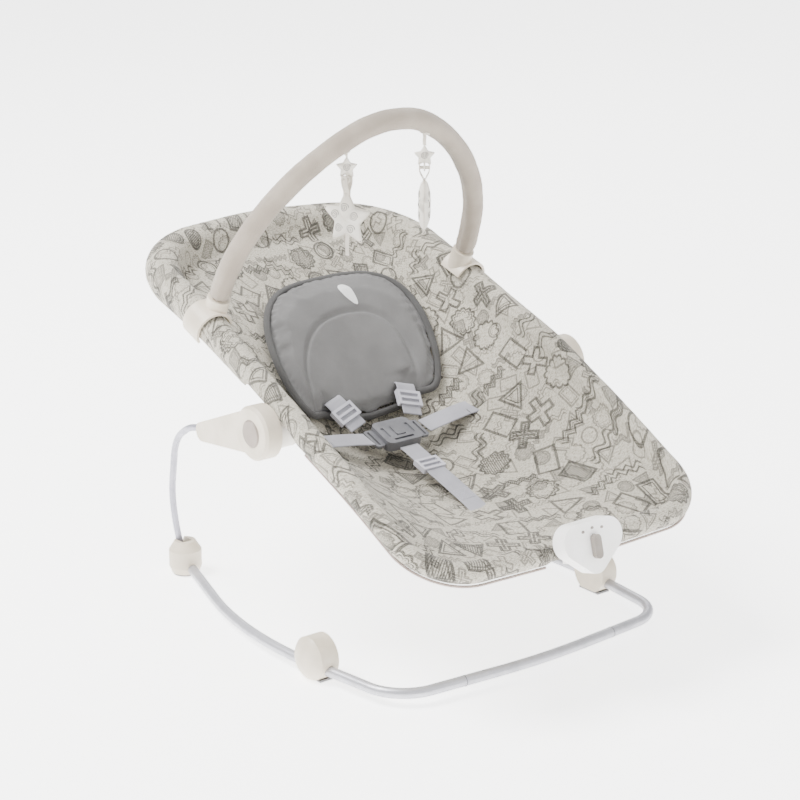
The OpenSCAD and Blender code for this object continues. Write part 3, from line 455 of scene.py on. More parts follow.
def dress_hard_nodes():
    """Every carried-over CAD node gets the procedural finish of its slot, and a fine rounded edge."""
    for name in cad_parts:
        obj = bpy.data.objects.get(name)
        if obj is None or obj.type != "MESH":
            continue
        for mat_slot in obj.material_slots:
            key = mat_slot.material.name.split(".")[0] if mat_slot.material else ""
            if key in HARD:
                mat_slot.material = HARD[key]
        bevel = obj.modifiers.new("soft_edges", "BEVEL")
        bevel.width = 0.0004
        bevel.segments = 2
        bevel.limit_method = "ANGLE"
        bevel.angle_limit = radians(40)
        bevel.use_clamp_overlap = True


# ---- seat frame geometry, as in the CAD ----

CROSS_X = 228.9
HUB_X = CROSS_X - 215
RIM_PLAN = [(50, 0, 1000), (45, 190, 64), (-85, 190.5, 1500), (-215, 191, 600), (-360, 181, 1500),
            (-508, 177, 96), (-530, 0, 320)]  # u from the front tube, half width, corner radius
POCKET_START = -430
POCKET_LENGTH = 160
SLING_DEPTH = 125
HEAD_DIP = 25
CENTRE_X = CROSS_X - 230
ROLL_HUB, ROLL_FOOT, ROLL_HEAD, ROLL_UNIT = 14.5, 12.0, 20.0, 9.5


def frame_z(x):
    u = x - CROSS_X
    return 184.5 - 0.525 * u - 0.00026 * u * u


def corner_arc(p, q, r, radius, steps):
    into, out = (q - p).normalized(), (r - q).normalized()
    angle = into.angle(out)
    start = q - into * radius * tan(angle / 2)
    inward = into.cross(out).normalized().cross(into)
    return [start + (into * sin(angle * k / steps) + inward * (1 - cos(angle * k / steps))) * radius
            for k in range(steps + 1)]


def rim_loop_points(count):
    """Even points round the rim's centre line."""
    half = [Vector((CROSS_X + u, y, frame_z(CROSS_X + u))) for u, y, _ in RIM_PLAN]
    radii = [r for _, _, r in RIM_PLAN]
    loop = half + [Vector((p.x, -p.y, p.z)) for p in reversed(half[1:-1])]
    radii = radii + list(reversed(radii[1:-1]))
    n = len(loop)
    line = []
    for i in range(n):
        line += corner_arc(loop[i - 1], loop[i], loop[(i + 1) % n], radii[i], 24)
    lengths = [0.0]
    for i in range(len(line)):
        lengths.append(lengths[-1] + (line[(i + 1) % len(line)] - line[i]).length)
    out = []
    k = 0
    for j in range(count):
        s = lengths[-1] * j / count
        while lengths[k + 1] < s:
            k += 1
        share = (s - lengths[k]) / max(lengths[k + 1] - lengths[k], 1e-9)
        out.append(line[k].lerp(line[(k + 1) % len(line)], share))
    return out


def sag(u):
    if u < POCKET_START + POCKET_LENGTH:
        return HEAD_DIP * smooth((u + 512) / 90) + (SLING_DEPTH - HEAD_DIP) * smooth(
            (u - POCKET_START) / POCKET_LENGTH)
    return SLING_DEPTH * (1 - min(1, (u - POCKET_START - POCKET_LENGTH) / 312) ** 1.5)


def sling_z(x, y):
    return frame_z(x) - 5 - sag(x - CROSS_X) * (1 - min(1, abs(y) / 175) ** 2.2)


def roll_at(p):
    u = p.x - CROSS_X
    if u > -215:
        full = mix(ROLL_HUB, ROLL_FOOT, smooth((u + 215) / 200))
    else:
        full = mix(ROLL_HUB, ROLL_HEAD, smooth((-215 - u) / 270))
    near_unit = (1 - smooth((abs(p.y) - 37) / 8)) * smooth(u / 10)
    return mix(full, ROLL_UNIT, near_unit)


def roll_end(p):
    """Angle at which the roll's cloth ends: cut back over the hubs."""
    near_hub = (1 - smooth((abs(p.x - HUB_X) - 36) / 20)) * (1 if abs(p.y) > 150 else 0)
    return mix(-60, 0, near_hub)


RIM_COUNT = 460
ROLL_ROWS = 18
INNER_ROWS = 46


def make_cover():
    """The seat's cloth: a padded roll round the rim tube and the sling inside it."""
    rim = rim_loop_points(RIM_COUNT)
    n = len(rim)
    outs = []
    for i in range(n):
        t = rim[(i + 1) % n] - rim[i - 1]
        outs.append(Vector((t.y, -t.x, 0)).normalized())
    rows = []
    for k in range(ROLL_ROWS + 1):
        row = []
        for i, p in enumerate(rim):
            share = k / ROLL_ROWS
            a = radians(mix(roll_end(p), 168, share))
            r = roll_at(p)
            pinch = 0.55 * wobble(i * 0.09, 0, 0, 2) + 0.35 * wobble(i * 0.4, k * 0.2, 0, 3)
            hem = -0.8 * exp(-(share * 16) ** 2)
            puff = 0.8 * sin(pi * clamp(share * 1.1))
            swell = (pinch * 0.9 + hem + puff) * (0.35 if r < 10.5 else 1.0)
            row.append(p + outs[i] * (r + swell) * cos(a) + UP * (r + swell) * sin(a))
        rows.append(row)
    centre = Vector((CENTRE_X, 0, 0))
    for k in range(1, INNER_ROWS + 1):
        t = (k / INNER_ROWS) ** 1.25 * 0.985
        row = []
        for i, p in enumerate(rim):
            edge = p - outs[i] * roll_at(p)
            x, y = mix(edge.x, centre.x, t), mix(edge.y, centre.y, t)
            z = sling_z(x, y)
            first = rows[ROLL_ROWS][i]
            seam = exp(-(t / 0.03) ** 2)
            z = mix(z, min(z, first.z), seam) - 1.6 * exp(-((t - 0.028) / 0.016) ** 2)
            beat = sin(i * 1.35 + 2.2 * wobble(i * 0.12, 0, 0, 6))
            pucker = exp(-t * 16) * (0.5 + wobble(i * 0.05, 0, 0, 5)) * beat
            side_pull = smooth((t - 0.05) / 0.2) * (1 - smooth((t - 0.7) / 0.3))
            folds = 1.5 * wobble(x * 0.012, y * 0.03, 0, 7) + 0.9 * wobble(x * 0.03, y * 0.012, 0.5, 8)
            crease = 1.3 * (1 - abs(wobble(x * 0.011 + y * 0.006, y * 0.019 - x * 0.004, 0, 9)) * 2.2)
            lift = pucker * 0.9 + side_pull * (folds + max(0, crease) * 0.9)
            row.append(Vector((x, y, z + lift)))
        rows.append(row)
    verts = [p for row in rows for p in row]
    verts.append(Vector((CENTRE_X, 0, sling_z(CENTRE_X, 0))))
    faces = grid_faces(len(rows), n, wrap_cols=True)
    last = (len(rows) - 1) * n
    faces += [(last + i, last + (i + 1) % n, len(verts) - 1) for i in range(n)]
    obj = mesh_piece("seat_cover", verts, faces)
    uvs = [None] * len(verts)
    for i in range(n):
        away = rim[i] - centre
        away = Vector((away.x, away.y, 0)).normalized()
        s = 0.0
        previous = verts[-1]
        for k in range(len(rows) - 1, -1, -1):
            s += (rows[k][i] - previous).length
            previous = rows[k][i]
            uvs[k * n + i] = (away.y * s * MM + 1.0, away.x * s * MM + 1.0)
    uvs[-1] = (1.0, 1.0)
    put_uv(obj, uvs)
    thick = obj.modifiers.new("cloth_thickness", "SOLIDIFY")
    thick.thickness = 0.003
    thick.offset = -1.0
    dress(obj, "cover")
    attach(obj, "seat")
    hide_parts("seat_sling")
    return rim, outs


def make_piping(rim, outs):
    """Thin corded edging under the roll at the foot end, a run each side of the vibration unit."""
    runs = []
    for side in (1, -1):
        pts = []
        for i, p in enumerate(rim):
            if p.x > HUB_X + 60 and p.y * side > 43:
                a = radians(roll_end(p))
                r = roll_at(p) + 1.6
                pts.append(p + outs[i] * r * cos(a) + UP * r * sin(a))
        pts.sort(key=lambda q: atan2(q.y * side, q.x - HUB_X - 60))
        runs.append(path_tube("run", pts, 1.5, 10))
    uv_runs = [[tuple(d.uv) for d in r.data.uv_layers[0].data] for r in runs]
    obj = joined("edge_piping", runs)
    layer = obj.data.uv_layers.new(name="cloth")
    flat = [uv for run in uv_runs for uv in run]
    for loop, uv in zip(layer.data, flat):
        loop.uv = uv
    dress(obj, "piping")
    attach(obj, "seat")
    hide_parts("rim_piping")


# ---- head pad ----

PAD_LOW, PAD_HIGH = -299.5, -426
PAD_HALF, PAD_LOW_HALF = 110, 98
PAD_LEAN, PAD_MIDDLE_Y = 18, 8
PAD_EAR, PAD_EAR_START, PAD_EAR_WIDTH = 20, 66, 34
PAD_GAP = 6
PAD_THICK = 15


def pad_edge(a):
    """Plan of the pad's edge: a broad arch, leaning left, over a lower edge with two rounded ears."""
    s, c = sin(a), cos(a)
    upper = s > 0
    waist = mix(PAD_LOW, PAD_HIGH, 0.3)
    width = PAD_HALF if upper else mix(PAD_HALF, PAD_LOW_HALF, -s)
    reach = waist - PAD_HIGH if upper else PAD_LOW - waist
    y = copysign(abs(c) ** (0.8 if upper else 0.3), c) * width
    ear = 0 if upper else PAD_EAR * smooth((abs(y) - PAD_EAR_START) / PAD_EAR_WIDTH) * sqrt(-s)
    u = waist - copysign(abs(s) ** (0.85 if upper else 0.75), s) * reach + ear
    return u, y + PAD_LEAN * max(0, (PAD_LOW - u) / (PAD_LOW - PAD_HIGH))


def pad_place(a, scale, rise):
    u, y = pad_edge(a)
    x = CROSS_X + mix(mix(PAD_LOW, PAD_HIGH, 0.45), u, scale)
    y = mix(PAD_MIDDLE_Y, y, scale)
    return Vector((x, y, sling_z(x, y) + PAD_GAP + rise))


def pad_skin(name, around, rings, bottom_rise):
    verts = []
    for scale, rise in rings:
        verts += [pad_place(tau * k / around, scale, rise) for k in range(around)]
    faces = grid_faces(len(rings), around, wrap_cols=True)
    top, low = len(verts), len(verts) + 1
    verts.append(pad_place(0, 0, rings[0][1]))
    verts.append(pad_place(0, 0, bottom_rise))
    faces += [(top, k, (k + 1) % around)[::-1] for k in range(around)]
    base = (len(rings) - 1) * around
    faces += [(low, base + k, base + (k + 1) % around) for k in range(around)]
    return mesh_piece(name, verts, faces)


def apply_modifiers(obj):
    depsgraph = bpy.context.evaluated_depsgraph_get()
    done = bpy.data.meshes.new_from_object(obj.evaluated_get(depsgraph))
    old = obj.data
    obj.modifiers.clear()
    obj.data = done
    bpy.data.meshes.remove(old)


def subdivide(obj, levels):
    sub = obj.modifiers.new("finer", "SUBSURF")
    sub.levels = levels
    sub.render_levels = levels
    apply_modifiers(obj)
    obj.data.polygons.foreach_set("use_smooth", [True] * len(obj.data.polygons))


SIM_FRAMES = 20


def inflate(obj, pressure, cap_mm, voxel_mm=5):
    """Cloth simulation under air pressure, with a cap on how far a point may move."""
    remesh = obj.modifiers.new("remesh", "REMESH")
    remesh.mode = "VOXEL"
    remesh.voxel_size = voxel_mm * MM
    apply_modifiers(obj)
    start = [v.co.copy() for v in obj.data.vertices]
    sim = obj.modifiers.new("cloth", "CLOTH")
    sim.settings.use_pressure = True
    sim.settings.uniform_pressure_force = pressure
    sim.settings.effector_weights.gravity = 0
    sim.settings.quality = 5
    scene = bpy.context.scene
    for number in range(1, SIM_FRAMES + 1):
        scene.frame_set(number)
    apply_modifiers(obj)
    scene.frame_set(1)
    for v, a in zip(obj.data.vertices, start):
        move = v.co - a
        if move.length > cap_mm * MM:
            v.co = a + move.normalized() * cap_mm * MM


def groove(obj, distance_of, depth_mm, width_mm, above):
    """Presses a sewn channel into the upper face where the distance from its line is small."""
    for v in obj.data.vertices:
        p = v.co / MM
        if above(p):
            d = distance_of(p)
            v.co.z -= depth_mm * MM * exp(-(d / width_mm) ** 2)


def make_pad():
    """Head pad: swollen cushion with a bound edge, an arched sewn channel and a small leaf mark."""
    top = PAD_THICK * 1.2
    rings = [(0.35, top), (0.7, top * 0.95), (0.9, top * 0.82), (0.985, top * 0.6), (1.005, top * 0.35),
             (0.985, 1.2), (0.7, 0.6), (0.35, 0.6)]
    obj = pad_skin("head_cushion", 96, rings, 0.6)
    inflate(obj, 3.5, 5)
    subdivide(obj, 2)
    arch_x, arch_half, arch_top = CROSS_X + PAD_LOW, 76, 74

    def arch_distance(p):
        along = clamp((arch_x - p.x) / arch_top, 0, 3)
        side = abs(p.y - mix(-6, 15, along)) / arch_half
        return abs((along ** 2.4 + side ** 2.4) ** (1 / 2.4) - 1) * arch_half

    def upper(p):
        return p.z > sling_z(p.x, p.y) + PAD_GAP + 6

    def rim_distance(p):
        rise = p.z - sling_z(p.x, p.y) - PAD_GAP
        return min((p - pad_place(tau * k / 64, 0.9, rise)).length for k in range(64))

    groove(obj, arch_distance, 3.6, 2.4, upper)
    groove(obj, rim_distance, 1.6, 3.0, upper)
    for v in obj.data.vertices:
        p = v.co / MM
        if upper(p):
            slow = 0.5 * wobble(p.x * 0.05, p.y * 0.05, 0, 11)
            v.co.z += (slow + 0.3 * wobble(p.x * 0.15, p.y * 0.1, 0, 12)) * MM
    dress(obj, "pad")
    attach(obj, "seat")
    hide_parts("head_pad")

    edge = [pad_place(tau * k / 160, 0.985, top * 0.36) for k in range(161)]
    binding = sweep("pad_binding", edge, oval_section(3.5, 4.2, 12), UP, caps=False)
    dress(binding, "binding")
    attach(binding, "seat")

    make_mark(obj)


def make_mark(pad):
    """Generic mark: one small plain leaf, a little proud of the pad's face."""
    centre = Vector((CROSS_X - 388, 33, 0))
    near = [v.co / MM for v in pad.data.vertices if (Vector((v.co.x, v.co.y, 0)) / MM - centre).length < 26]

    def surface(x, y):
        best = sorted(((q.x - x) ** 2 + (q.y - y) ** 2, -q.z) for q in near)[:6]
        return max(-z for _, z in best) if best else sling_z(x, y) + 20

    rows, around = 5, 28
    verts = []
    for r in range(rows):
        for k in range(around):
            a = tau * k / around
            s = (r + 1) / rows
            px = 13.5 * s * cos(a)
            py = 7.0 * s * sin(a) * (1 - 0.35 * cos(a))
            x = centre.x + px * 0.94 - py * 0.34
            y = centre.y + px * 0.34 + py * 0.94
            verts.append(Vector((x, y, surface(x, y) + 0.5 * (1 - s ** 4) + 0.25)))
    top = len(verts)
    verts.append(Vector((centre.x, centre.y, surface(centre.x, centre.y) + 0.8)))
    faces = grid_faces(rows, around, wrap_cols=True)
    faces += [(top, (k + 1) % around, k) for k in range(around)]
    leaf = mesh_piece("pad_mark", verts, faces)
    dress(leaf, "mark")
    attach(leaf, "seat")


# ---- harness ----

STRAP_W, STRAP_T = 25.0, 1.4


def strap_section():
    """Flat webbing with rounded, slightly thicker selvedges."""
    half, t = STRAP_W / 2, STRAP_T / 2
    return two_faced([(-half, 0), (-half + 0.3, t * 0.9), (-half + 1.2, t * 1.25), (-half + 2.4, t),
                      (-half / 2, t * 0.9), (0, t * 0.95), (half / 2, t * 0.9), (half - 2.4, t),
                      (half - 1.2, t * 1.25), (half - 0.3, t * 0.9), (half, 0)])


def make_strap(name, node, start, end, facing, bow, lead_in, body="seat", blend_to=None):
    """Webbing from start to end, with a lead-in of knots before start that hides its sewn end."""
    axis = (end - start).normalized()
    normal = (facing - axis * facing.dot(axis)).normalized()
    across = axis.cross(normal)
    points = []
    count = 30
    for k in range(count + 1):
        t = k / count
        ripple = 0.25 * wobble(t * 5, start.x * 0.1, start.y * 0.1, 14)
        points.append(start.lerp(end, t) + normal * (bow + ripple) * sin(pi * t))
    lead = spline_points(list(lead_in) + [start, points[3]], 8)
    stop = len(lead) - 8
    points = lead[:stop] + points
    obj = sweep(name, points, strap_section(), across)
    dress(obj, "webbing")
    if blend_to:
        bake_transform(obj)
    else:
        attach(obj, body)
    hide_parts(node)
    return across, normal


def make_stitches(name, origin, across, axis, normal, size, body="seat"):
    """Boxed cross of small stitches on webbing."""
    half = size / 2
    corners = [(-half, -half), (half, -half), (half, half), (-half, half)]
    segments = [(corners[k], corners[(k + 1) % 4]) for k in range(4)]
    segments += [(corners[0], corners[2]), (corners[1], corners[3])]
    tubes = []
    for (a, b), (c, d) in segments:
        length = hypot(c - a, d - b)
        count = max(3, int(length / 2.6))
        for k in range(count):
            s0, s1 = (k + 0.12) / count, (k + 0.78) / count
            pts = []
            for s, up in ((s0, 0.0), (mix(s0, s1, 0.5), 0.35), (s1, 0.0)):
                pts.append(origin + across * mix(a, c, s) + axis * mix(b, d, s) + normal * (STRAP_T / 2 + up))
            tubes.append(path_tube("stitch", pts, 0.28, 5))
    obj = joined(name, tubes)
    dress(obj, "thread")
    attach(obj, body)


def make_harness():
    for side, word in ((1, "left"), (-1, "right")):
        top = Vector((CROSS_X - 305, 52 * side, 239))
        end = Vector((CROSS_X - 273, 39 * side, 212))
        facing = Vector((0.62, 0.1 * side, 0.78)).normalized()
        axis = (end - top).normalized()
        top = top + axis * 4
        fold = [top - facing * 16 - axis * 1, top - facing * 6 - axis * 5.5, top - facing * 1.5 - axis * 4.5]
        make_strap(f"{word}_shoulder_webbing", f"{word}_shoulder_strap", top, end, facing, 0.2, fold,
                   "seat", f"{word}_tongue")
        waist = Vector((CROSS_X - 251, 98 * side, 213))
        waist_end = Vector((CROSS_X - 253, 40 * side, 203))
        waist_facing = Vector((0.3, -0.15 * side, 1)).normalized()
        out_y = [waist.y + side * d for d in (20, 11)]
        sewn = [Vector((waist.x + 1, y, sling_z(waist.x + 1, y) + lift))
                for y, lift in zip(out_y, (-2.5, -0.5))]
        make_strap(f"{word}_waist_webbing", f"{word}_waist_strap", waist, waist_end, waist_facing, 0.5, sewn,
                   "seat", f"{word}_tongue")
    low = Vector((CROSS_X - 120, 0, 159))
    high = Vector((CROSS_X - 231, 0, 193))
    facing = Vector((0.34, 0, 1)).normalized()
    sewn = [Vector((low.x + d, 0, sling_z(low.x + d, 0) + lift)) for d, lift in ((18, -2.5), (9, 0.5))]
    across, normal = make_strap("crotch_webbing", "crotch_strap", low, high, facing, 0.4, sewn)
    axis = (high - low).normalized()
    make_stitches("crotch_stitches", low + axis * 14, across, axis, normal, 18)


# ---- toy bar ----

BAR_R = (110, 250, 205)
BAR_TURN = radians(30)
BAR_FOOT = Vector((CROSS_X - 362, 0, 341))
BAR_HEIGHT = 245
BAR_LEAN = radians(64.5)
BAR_UP = Vector((cos(BAR_LEAN), 0, sin(BAR_LEAN)))
SLEEVE_R, SLEEVE_MOUTH_R = 12.0, 4.3


def bar_at(a):
    """Place on the left half of the arch where it has turned by the given angle from the crown."""
    crown, mid = min(a, BAR_TURN), min(max(a, BAR_TURN), 2 * BAR_TURN)
    low = max(a, 2 * BAR_TURN)
    y = BAR_R[0] * sin(crown) + BAR_R[1] * (sin(mid) - sin(BAR_TURN)) + BAR_R[2] * (
        sin(low) - sin(2 * BAR_TURN))
    fall = BAR_R[0] * (1 - cos(crown)) + BAR_R[1] * (cos(BAR_TURN) - cos(mid)) + BAR_R[2] * (
        cos(2 * BAR_TURN) - cos(low))
    return BAR_FOOT + ALONG_Y * y + BAR_UP * (BAR_HEIGHT - fall)


def bar_tangent(a):
    return ALONG_Y * cos(a) - BAR_UP * sin(a)


def arch_points(step_mm=4.0):
    half = []
    total = BAR_TURN * sum(BAR_R)
    count = int(total / step_mm)
    for k in range(count + 1):
        s = total * k / count
        if s < BAR_R[0] * BAR_TURN:
            a = s / BAR_R[0]
        elif s < (BAR_R[0] + BAR_R[1]) * BAR_TURN:
            a = BAR_TURN + (s - BAR_R[0] * BAR_TURN) / BAR_R[1]
        else:
            a = 2 * BAR_TURN + (s - (BAR_R[0] + BAR_R[1]) * BAR_TURN) / BAR_R[2]
        half.append(bar_at(min(a, pi / 2)))
    half.append(half[-1] - BAR_UP * 1.0)
    mirrored = [Vector((p.x, -p.y, p.z)) for p in reversed(half[1:])]
    return mirrored + half


def make_sleeve():
    """Padded jersey sleeve over the toy bar's rod, gathered a little at its ends, seam underneath."""
    pts = arch_points()
    sides = 40
    frames = frames_along(pts, BAR_UP.cross(ALONG_Y))
    verts = []
    n = len(pts)
    run = 0.0
    total = sum((pts[i] - pts[i - 1]).length for i in range(1, n))
    for i, p in enumerate(pts):
        if i:
            run += (pts[i] - pts[i - 1]).length
        _, side, up = frames[i]
        end = min(run, total - run)
        neck = -1.6 * exp(-(end / 5) ** 2)
        for k in range(sides):
            a = tau * k / sides
            gather = 0.5 * exp(-end / 14) * sin(k * tau / sides * 9)
            wrinkle = 0.55 * wobble(run * 0.035, cos(a) * 1.1, sin(a) * 1.1, 21)
            fine = 0.22 * wobble(run * 0.16, cos(a) * 1.6, sin(a) * 1.6, 22)
            gap = min(abs(a - pi * 1.5), tau - abs(a - pi * 1.5))
            seam = -0.7 * exp(-(gap / 0.12) ** 2)
            r = SLEEVE_R + neck + gather + wrinkle + fine + seam
            verts.append(p + side * r * cos(a) + up * r * sin(a))
    faces = grid_faces(n, sides, wrap_cols=True)
    base = len(verts)
    for i in (0, n - 1):
        verts += circle_points(pts[i], frames[i][1], frames[i][2], SLEEVE_MOUTH_R, sides)[:-1]
    for k in range(sides):
        e = (k + 1) % sides
        faces.append((e, k, base + k, base + e))
        faces.append(((n - 1) * sides + k, (n - 1) * sides + e, base + sides + e, base + sides + k))
    obj = mesh_piece("toy_bar_cover", verts, faces)
    dress(obj, "sleeve")
    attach(obj, "toy_bar")
    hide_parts("toy_bar_sleeve")


# ---- toys ----

SMALL_Z, SMALL_R, PLUSH_Z, PLUSH_R, PLUSH_T, HINGE_Z = 515, 12, 459, 31, 14, 502
TOYS = {"left": dict(side=1, angle=27, ribbon=12, small=52, hang=140, tail=432),
        "right": dict(side=-1, angle=33, ribbon=15, small=-52, hang=-20, tail=417)}
SPIRAL_TURNS = 2.3
STAR_FULL = 1.07  # a star's points reach this far past its nominal radius before they are softened
SMALL_WAIST, PLUSH_WAIST = 0.55, 0.5


def loop_low(a):
    t = bar_tangent(a)
    return bar_at(a) - (UP - t * UP.dot(t)).normalized() * (SLEEVE_R + 0.8)


def level_way(turn_deg, side=1):
    """Level direction turned from x by an angle, mirrored for the right-hand side."""
    return Vector((cos(radians(turn_deg)), sin(radians(turn_deg)) * side, 0))


def flipped(points, side):
    """The points on the given side of the middle plane."""
    return [Vector((p.x, p.y * side, p.z)) for p in points]


def star_radius(theta, r, waist):
    """Radius of a five-pointed star with softened points."""
    total = 0.0
    taps = 5
    for j in range(taps):
        a = (theta + radians((j - (taps - 1) / 2) * 2.0)) % tau
        sector = tau / 10
        k = int(a / sector)
        f = a / sector - k
        outer, inner = (r, r * waist) if k % 2 == 0 else (r * waist, r)
        x0, y0 = outer, 0.0
        x1, y1 = inner * cos(sector), inner * sin(sector)
        dx, dy = x1 - x0, y1 - y0
        c, s = cos(f * sector), sin(f * sector)
        total += (x0 * dy - y0 * dx) / (c * dy - s * dx)
    return total / taps


def puffy_star(name, centre, turn_deg, side, r, waist, thick, seed):
    """Stuffed star that hangs upright, its face turned about the vertical."""
    around, rings = 100, 9
    right = level_way(turn_deg)
    face = Vector((right.y, -right.x, 0))
    verts = []

    def place(theta, s, sign):
        radius = star_radius(theta, r * STAR_FULL, waist) * s
        swell = (1 - s ** 2.6) ** 0.55 if s < 1 else 0.0
        body = thick / 2 * swell * (0.88 + 0.12 * cos(5 * theta))
        body += 0.25 * wobble(radius * 0.25 * cos(theta), radius * 0.25 * sin(theta), sign,
                              seed) * swell
        return centre + right * radius * sin(theta) + UP * radius * cos(theta) + face * body * sign

    for sign in (1, -1):
        for k in range(rings if sign > 0 else rings - 1):
            s = (k + 1) / rings
            for j in range(around):
                verts.append(place(tau * j / around, s, sign))
    faces = grid_faces(rings, around, wrap_cols=True)
    back = rings * around
    for k in range(rings - 1):
        inner = back + k * around
        outer = inner + around if k < rings - 2 else (rings - 1) * around
        for j in range(around):
            e = (j + 1) % around
            faces.append((inner + j, outer + j, outer + e, inner + e))
    verts.append(centre + face * thick / 2)
    verts.append(centre - face * thick / 2)
    top, low = len(verts) - 2, len(verts) - 1
    faces += [(top, (j + 1) % around, j) for j in range(around)]
    faces += [(low, back + j, back + (j + 1) % around) for j in range(around)]
    if side < 0:
        verts = flipped(verts, side)
        faces = [tuple(reversed(f)) for f in faces]
    return mesh_piece(name, verts, faces), place


def ribbon_section(width, thick):
    half, t = width / 2, thick / 2
    return two_faced([(-half, 0), (0.3 - half, t), (0, t * 0.8), (half - 0.3, t), (half, 0)])


def flat_ribbon(name, low, high, width, thick, turn_deg, side, wave=0.6):
    right = level_way(turn_deg, side)
    front = right.cross(UP)
    count = 16
    points = []
    for k in range(count + 1):
        t = k / count
        points.append(low.lerp(high, t) + front * wave * sin(t * 5.0) * sin(pi * t))
    return sweep(name, points, ribbon_section(width, thick), right)


def spiral_tube(place, theta, s_mid, radius, sign, side, star_r, waist):
    """Embroidered spiral on a star's face."""
    pts = []
    count = 30
    for k in range(count + 1):
        f = k / count
        a = tau * SPIRAL_TURNS * f
        rr = radius * (1 - 0.86 * f)
        x = s_mid * sin(theta) + rr * cos(a)
        y = s_mid * cos(theta) + rr * sin(a)
        ang = atan2(x, y) % tau
        reach = hypot(x, y)
        whole = star_radius(ang, star_r * STAR_FULL, waist)
        pts.append(place(ang, clamp(reach / whole, 0.02, 0.93), sign))
    return path_tube("spiral", flipped(pts, side), 0.36, 5)


def make_toy(word, spec):
    side = spec["side"]
    a = radians(spec["angle"])
    low = loop_low(a)
    at = Vector((low.x, low.y, 0))
    mirrored = Vector((low.x, low.y * side, 0))

    hang = spec["hang"]
    level = level_way(hang, side)

    small, place = puffy_star(f"{word}_small_plush", at + UP * SMALL_Z, spec["small"], side,
                              SMALL_R, SMALL_WAIST, 5.0, 31 + side)
    parts = [small]
    ring = circle_points(mirrored + UP * HINGE_Z, level, UP, 3.6, 32)
    parts.append(path_tube("ring", ring, 0.85, 8, level.cross(UP)))
    parts.append(path_tube("neck", [mirrored + UP * (HINGE_Z + 3.8), mirrored + UP * (HINGE_Z + 6),
                                    mirrored + UP * (HINGE_Z + 8.5)], 1.1, 8))
    small = joined(f"{word}_small_toy", parts)
    dress(small, "plush")
    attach(small, f"{word}_toy")
    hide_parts(f"{word}_small_star")
    swirl = joined(f"{word}_small_embroidery",
                   [spiral_tube(place, 0.3, 0.6, 4.4, sign, side, SMALL_R, SMALL_WAIST) for sign in (1, -1)])
    dress(swirl, "spiral")
    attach(swirl, f"{word}_toy")

    plush, place = puffy_star(f"{word}_plush_toy", at + UP * PLUSH_Z, hang, side,
                              PLUSH_R, PLUSH_WAIST, PLUSH_T, 41 + side)
    subdivide(plush, 1)
    dress(plush, "plush")
    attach(plush, f"{word}_star")
    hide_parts(f"{word}_plush_star")

    tubes = []
    for sign in (1, -1):
        for k in range(5):
            tubes.append(spiral_tube(place, tau * k / 5, PLUSH_R * 0.42, 5.2, sign, side,
                                     PLUSH_R, PLUSH_WAIST))
    spirals = joined(f"{word}_plush_embroidery", tubes)
    dress(spirals, "spiral")
    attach(spirals, f"{word}_star")

    edge = flipped([place(tau * k / 120, 1.0, 1) for k in range(121)], side)
    seam = path_tube(f"{word}_plush_seam", edge, 0.5, 6)
    dress(seam, "satin")
    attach(seam, f"{word}_star")

    strips = []
    front = Vector((-sin(radians(hang)), cos(radians(hang)) * side, 0))
    for s in (-1, 1):
        knots = [mirrored + UP * z + front * s * d for z, d in
                 ((484, 0.8), (490, 1.6), (495, 4.2), (500, 5.6), (507, 5.4))]
        strips.append(sweep("strip", spline_points(knots, 6), ribbon_section(8, 1.1), level))
    pin = [mirrored + UP * HINGE_Z + front * x for x in (-6.3, -3, 3, 6.3)]
    strips.append(path_tube("pin", pin, 1.9, 12, UP))
    strips.append(flat_ribbon("tail", mirrored + UP * spec["tail"], mirrored + UP * (PLUSH_Z - PLUSH_R * 0.4),
                              5, 1.0, hang, side, 0.5))
    ribbons = joined(f"{word}_plush_ribbons", strips)
    dress(ribbons, "satin")
    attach(ribbons, f"{word}_star")

    t = bar_tangent(a)
    s = t.cross(UP).normalized()
    up = s.cross(t).normalized()
    span = radians(23)
    steps = 16
    rows = []
    for w, r in ((-3.5, 0.1), (-3.4, 1.15), (0, 1.3), (3.4, 1.15), (3.5, 0.1), (0, 0.05)):
        angles = [-pi / 2 + mix(-span, span, k / steps) for k in range(steps + 1)]
        rows.append([bar_at(a) + t * w + (s * cos(b) + up * sin(b)) * (SLEEVE_R + r) for b in angles])
    verts = flipped([p for row in rows for p in row], side)
    cols = steps + 1
    faces = grid_faces(len(rows), cols, wrap_rows=True)
    faces.append(tuple(r * cols for r in range(len(rows))))
    faces.append(tuple(r * cols + steps for r in reversed(range(len(rows)))))
    if side < 0:
        faces = [tuple(reversed(f)) for f in faces]
    loop = mesh_piece("tab", verts, faces)
    strip = flat_ribbon("hanger", mirrored + UP * (SMALL_Z + SMALL_R + 0.05), mirrored + UP * (low.z - 0.2),
                        5, 1.0, spec["ribbon"], side, 0.3)
    hanger = joined(f"{word}_hanging_ribbon", [loop, strip])
    dress(hanger, "satin")
    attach(hanger, f"{word}_toy")
    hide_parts(f"{word}_toy_ribbon")


# ---- vibration unit details ----

UNIT_LEAN = radians(15)
KNOB_CENTRE = Vector((308.9, 0, 167))
DOT_SIDES = 20
DOT_PROFILE = ((2.2, -0.05), (2.0, 0.3), (1.2, 0.5))


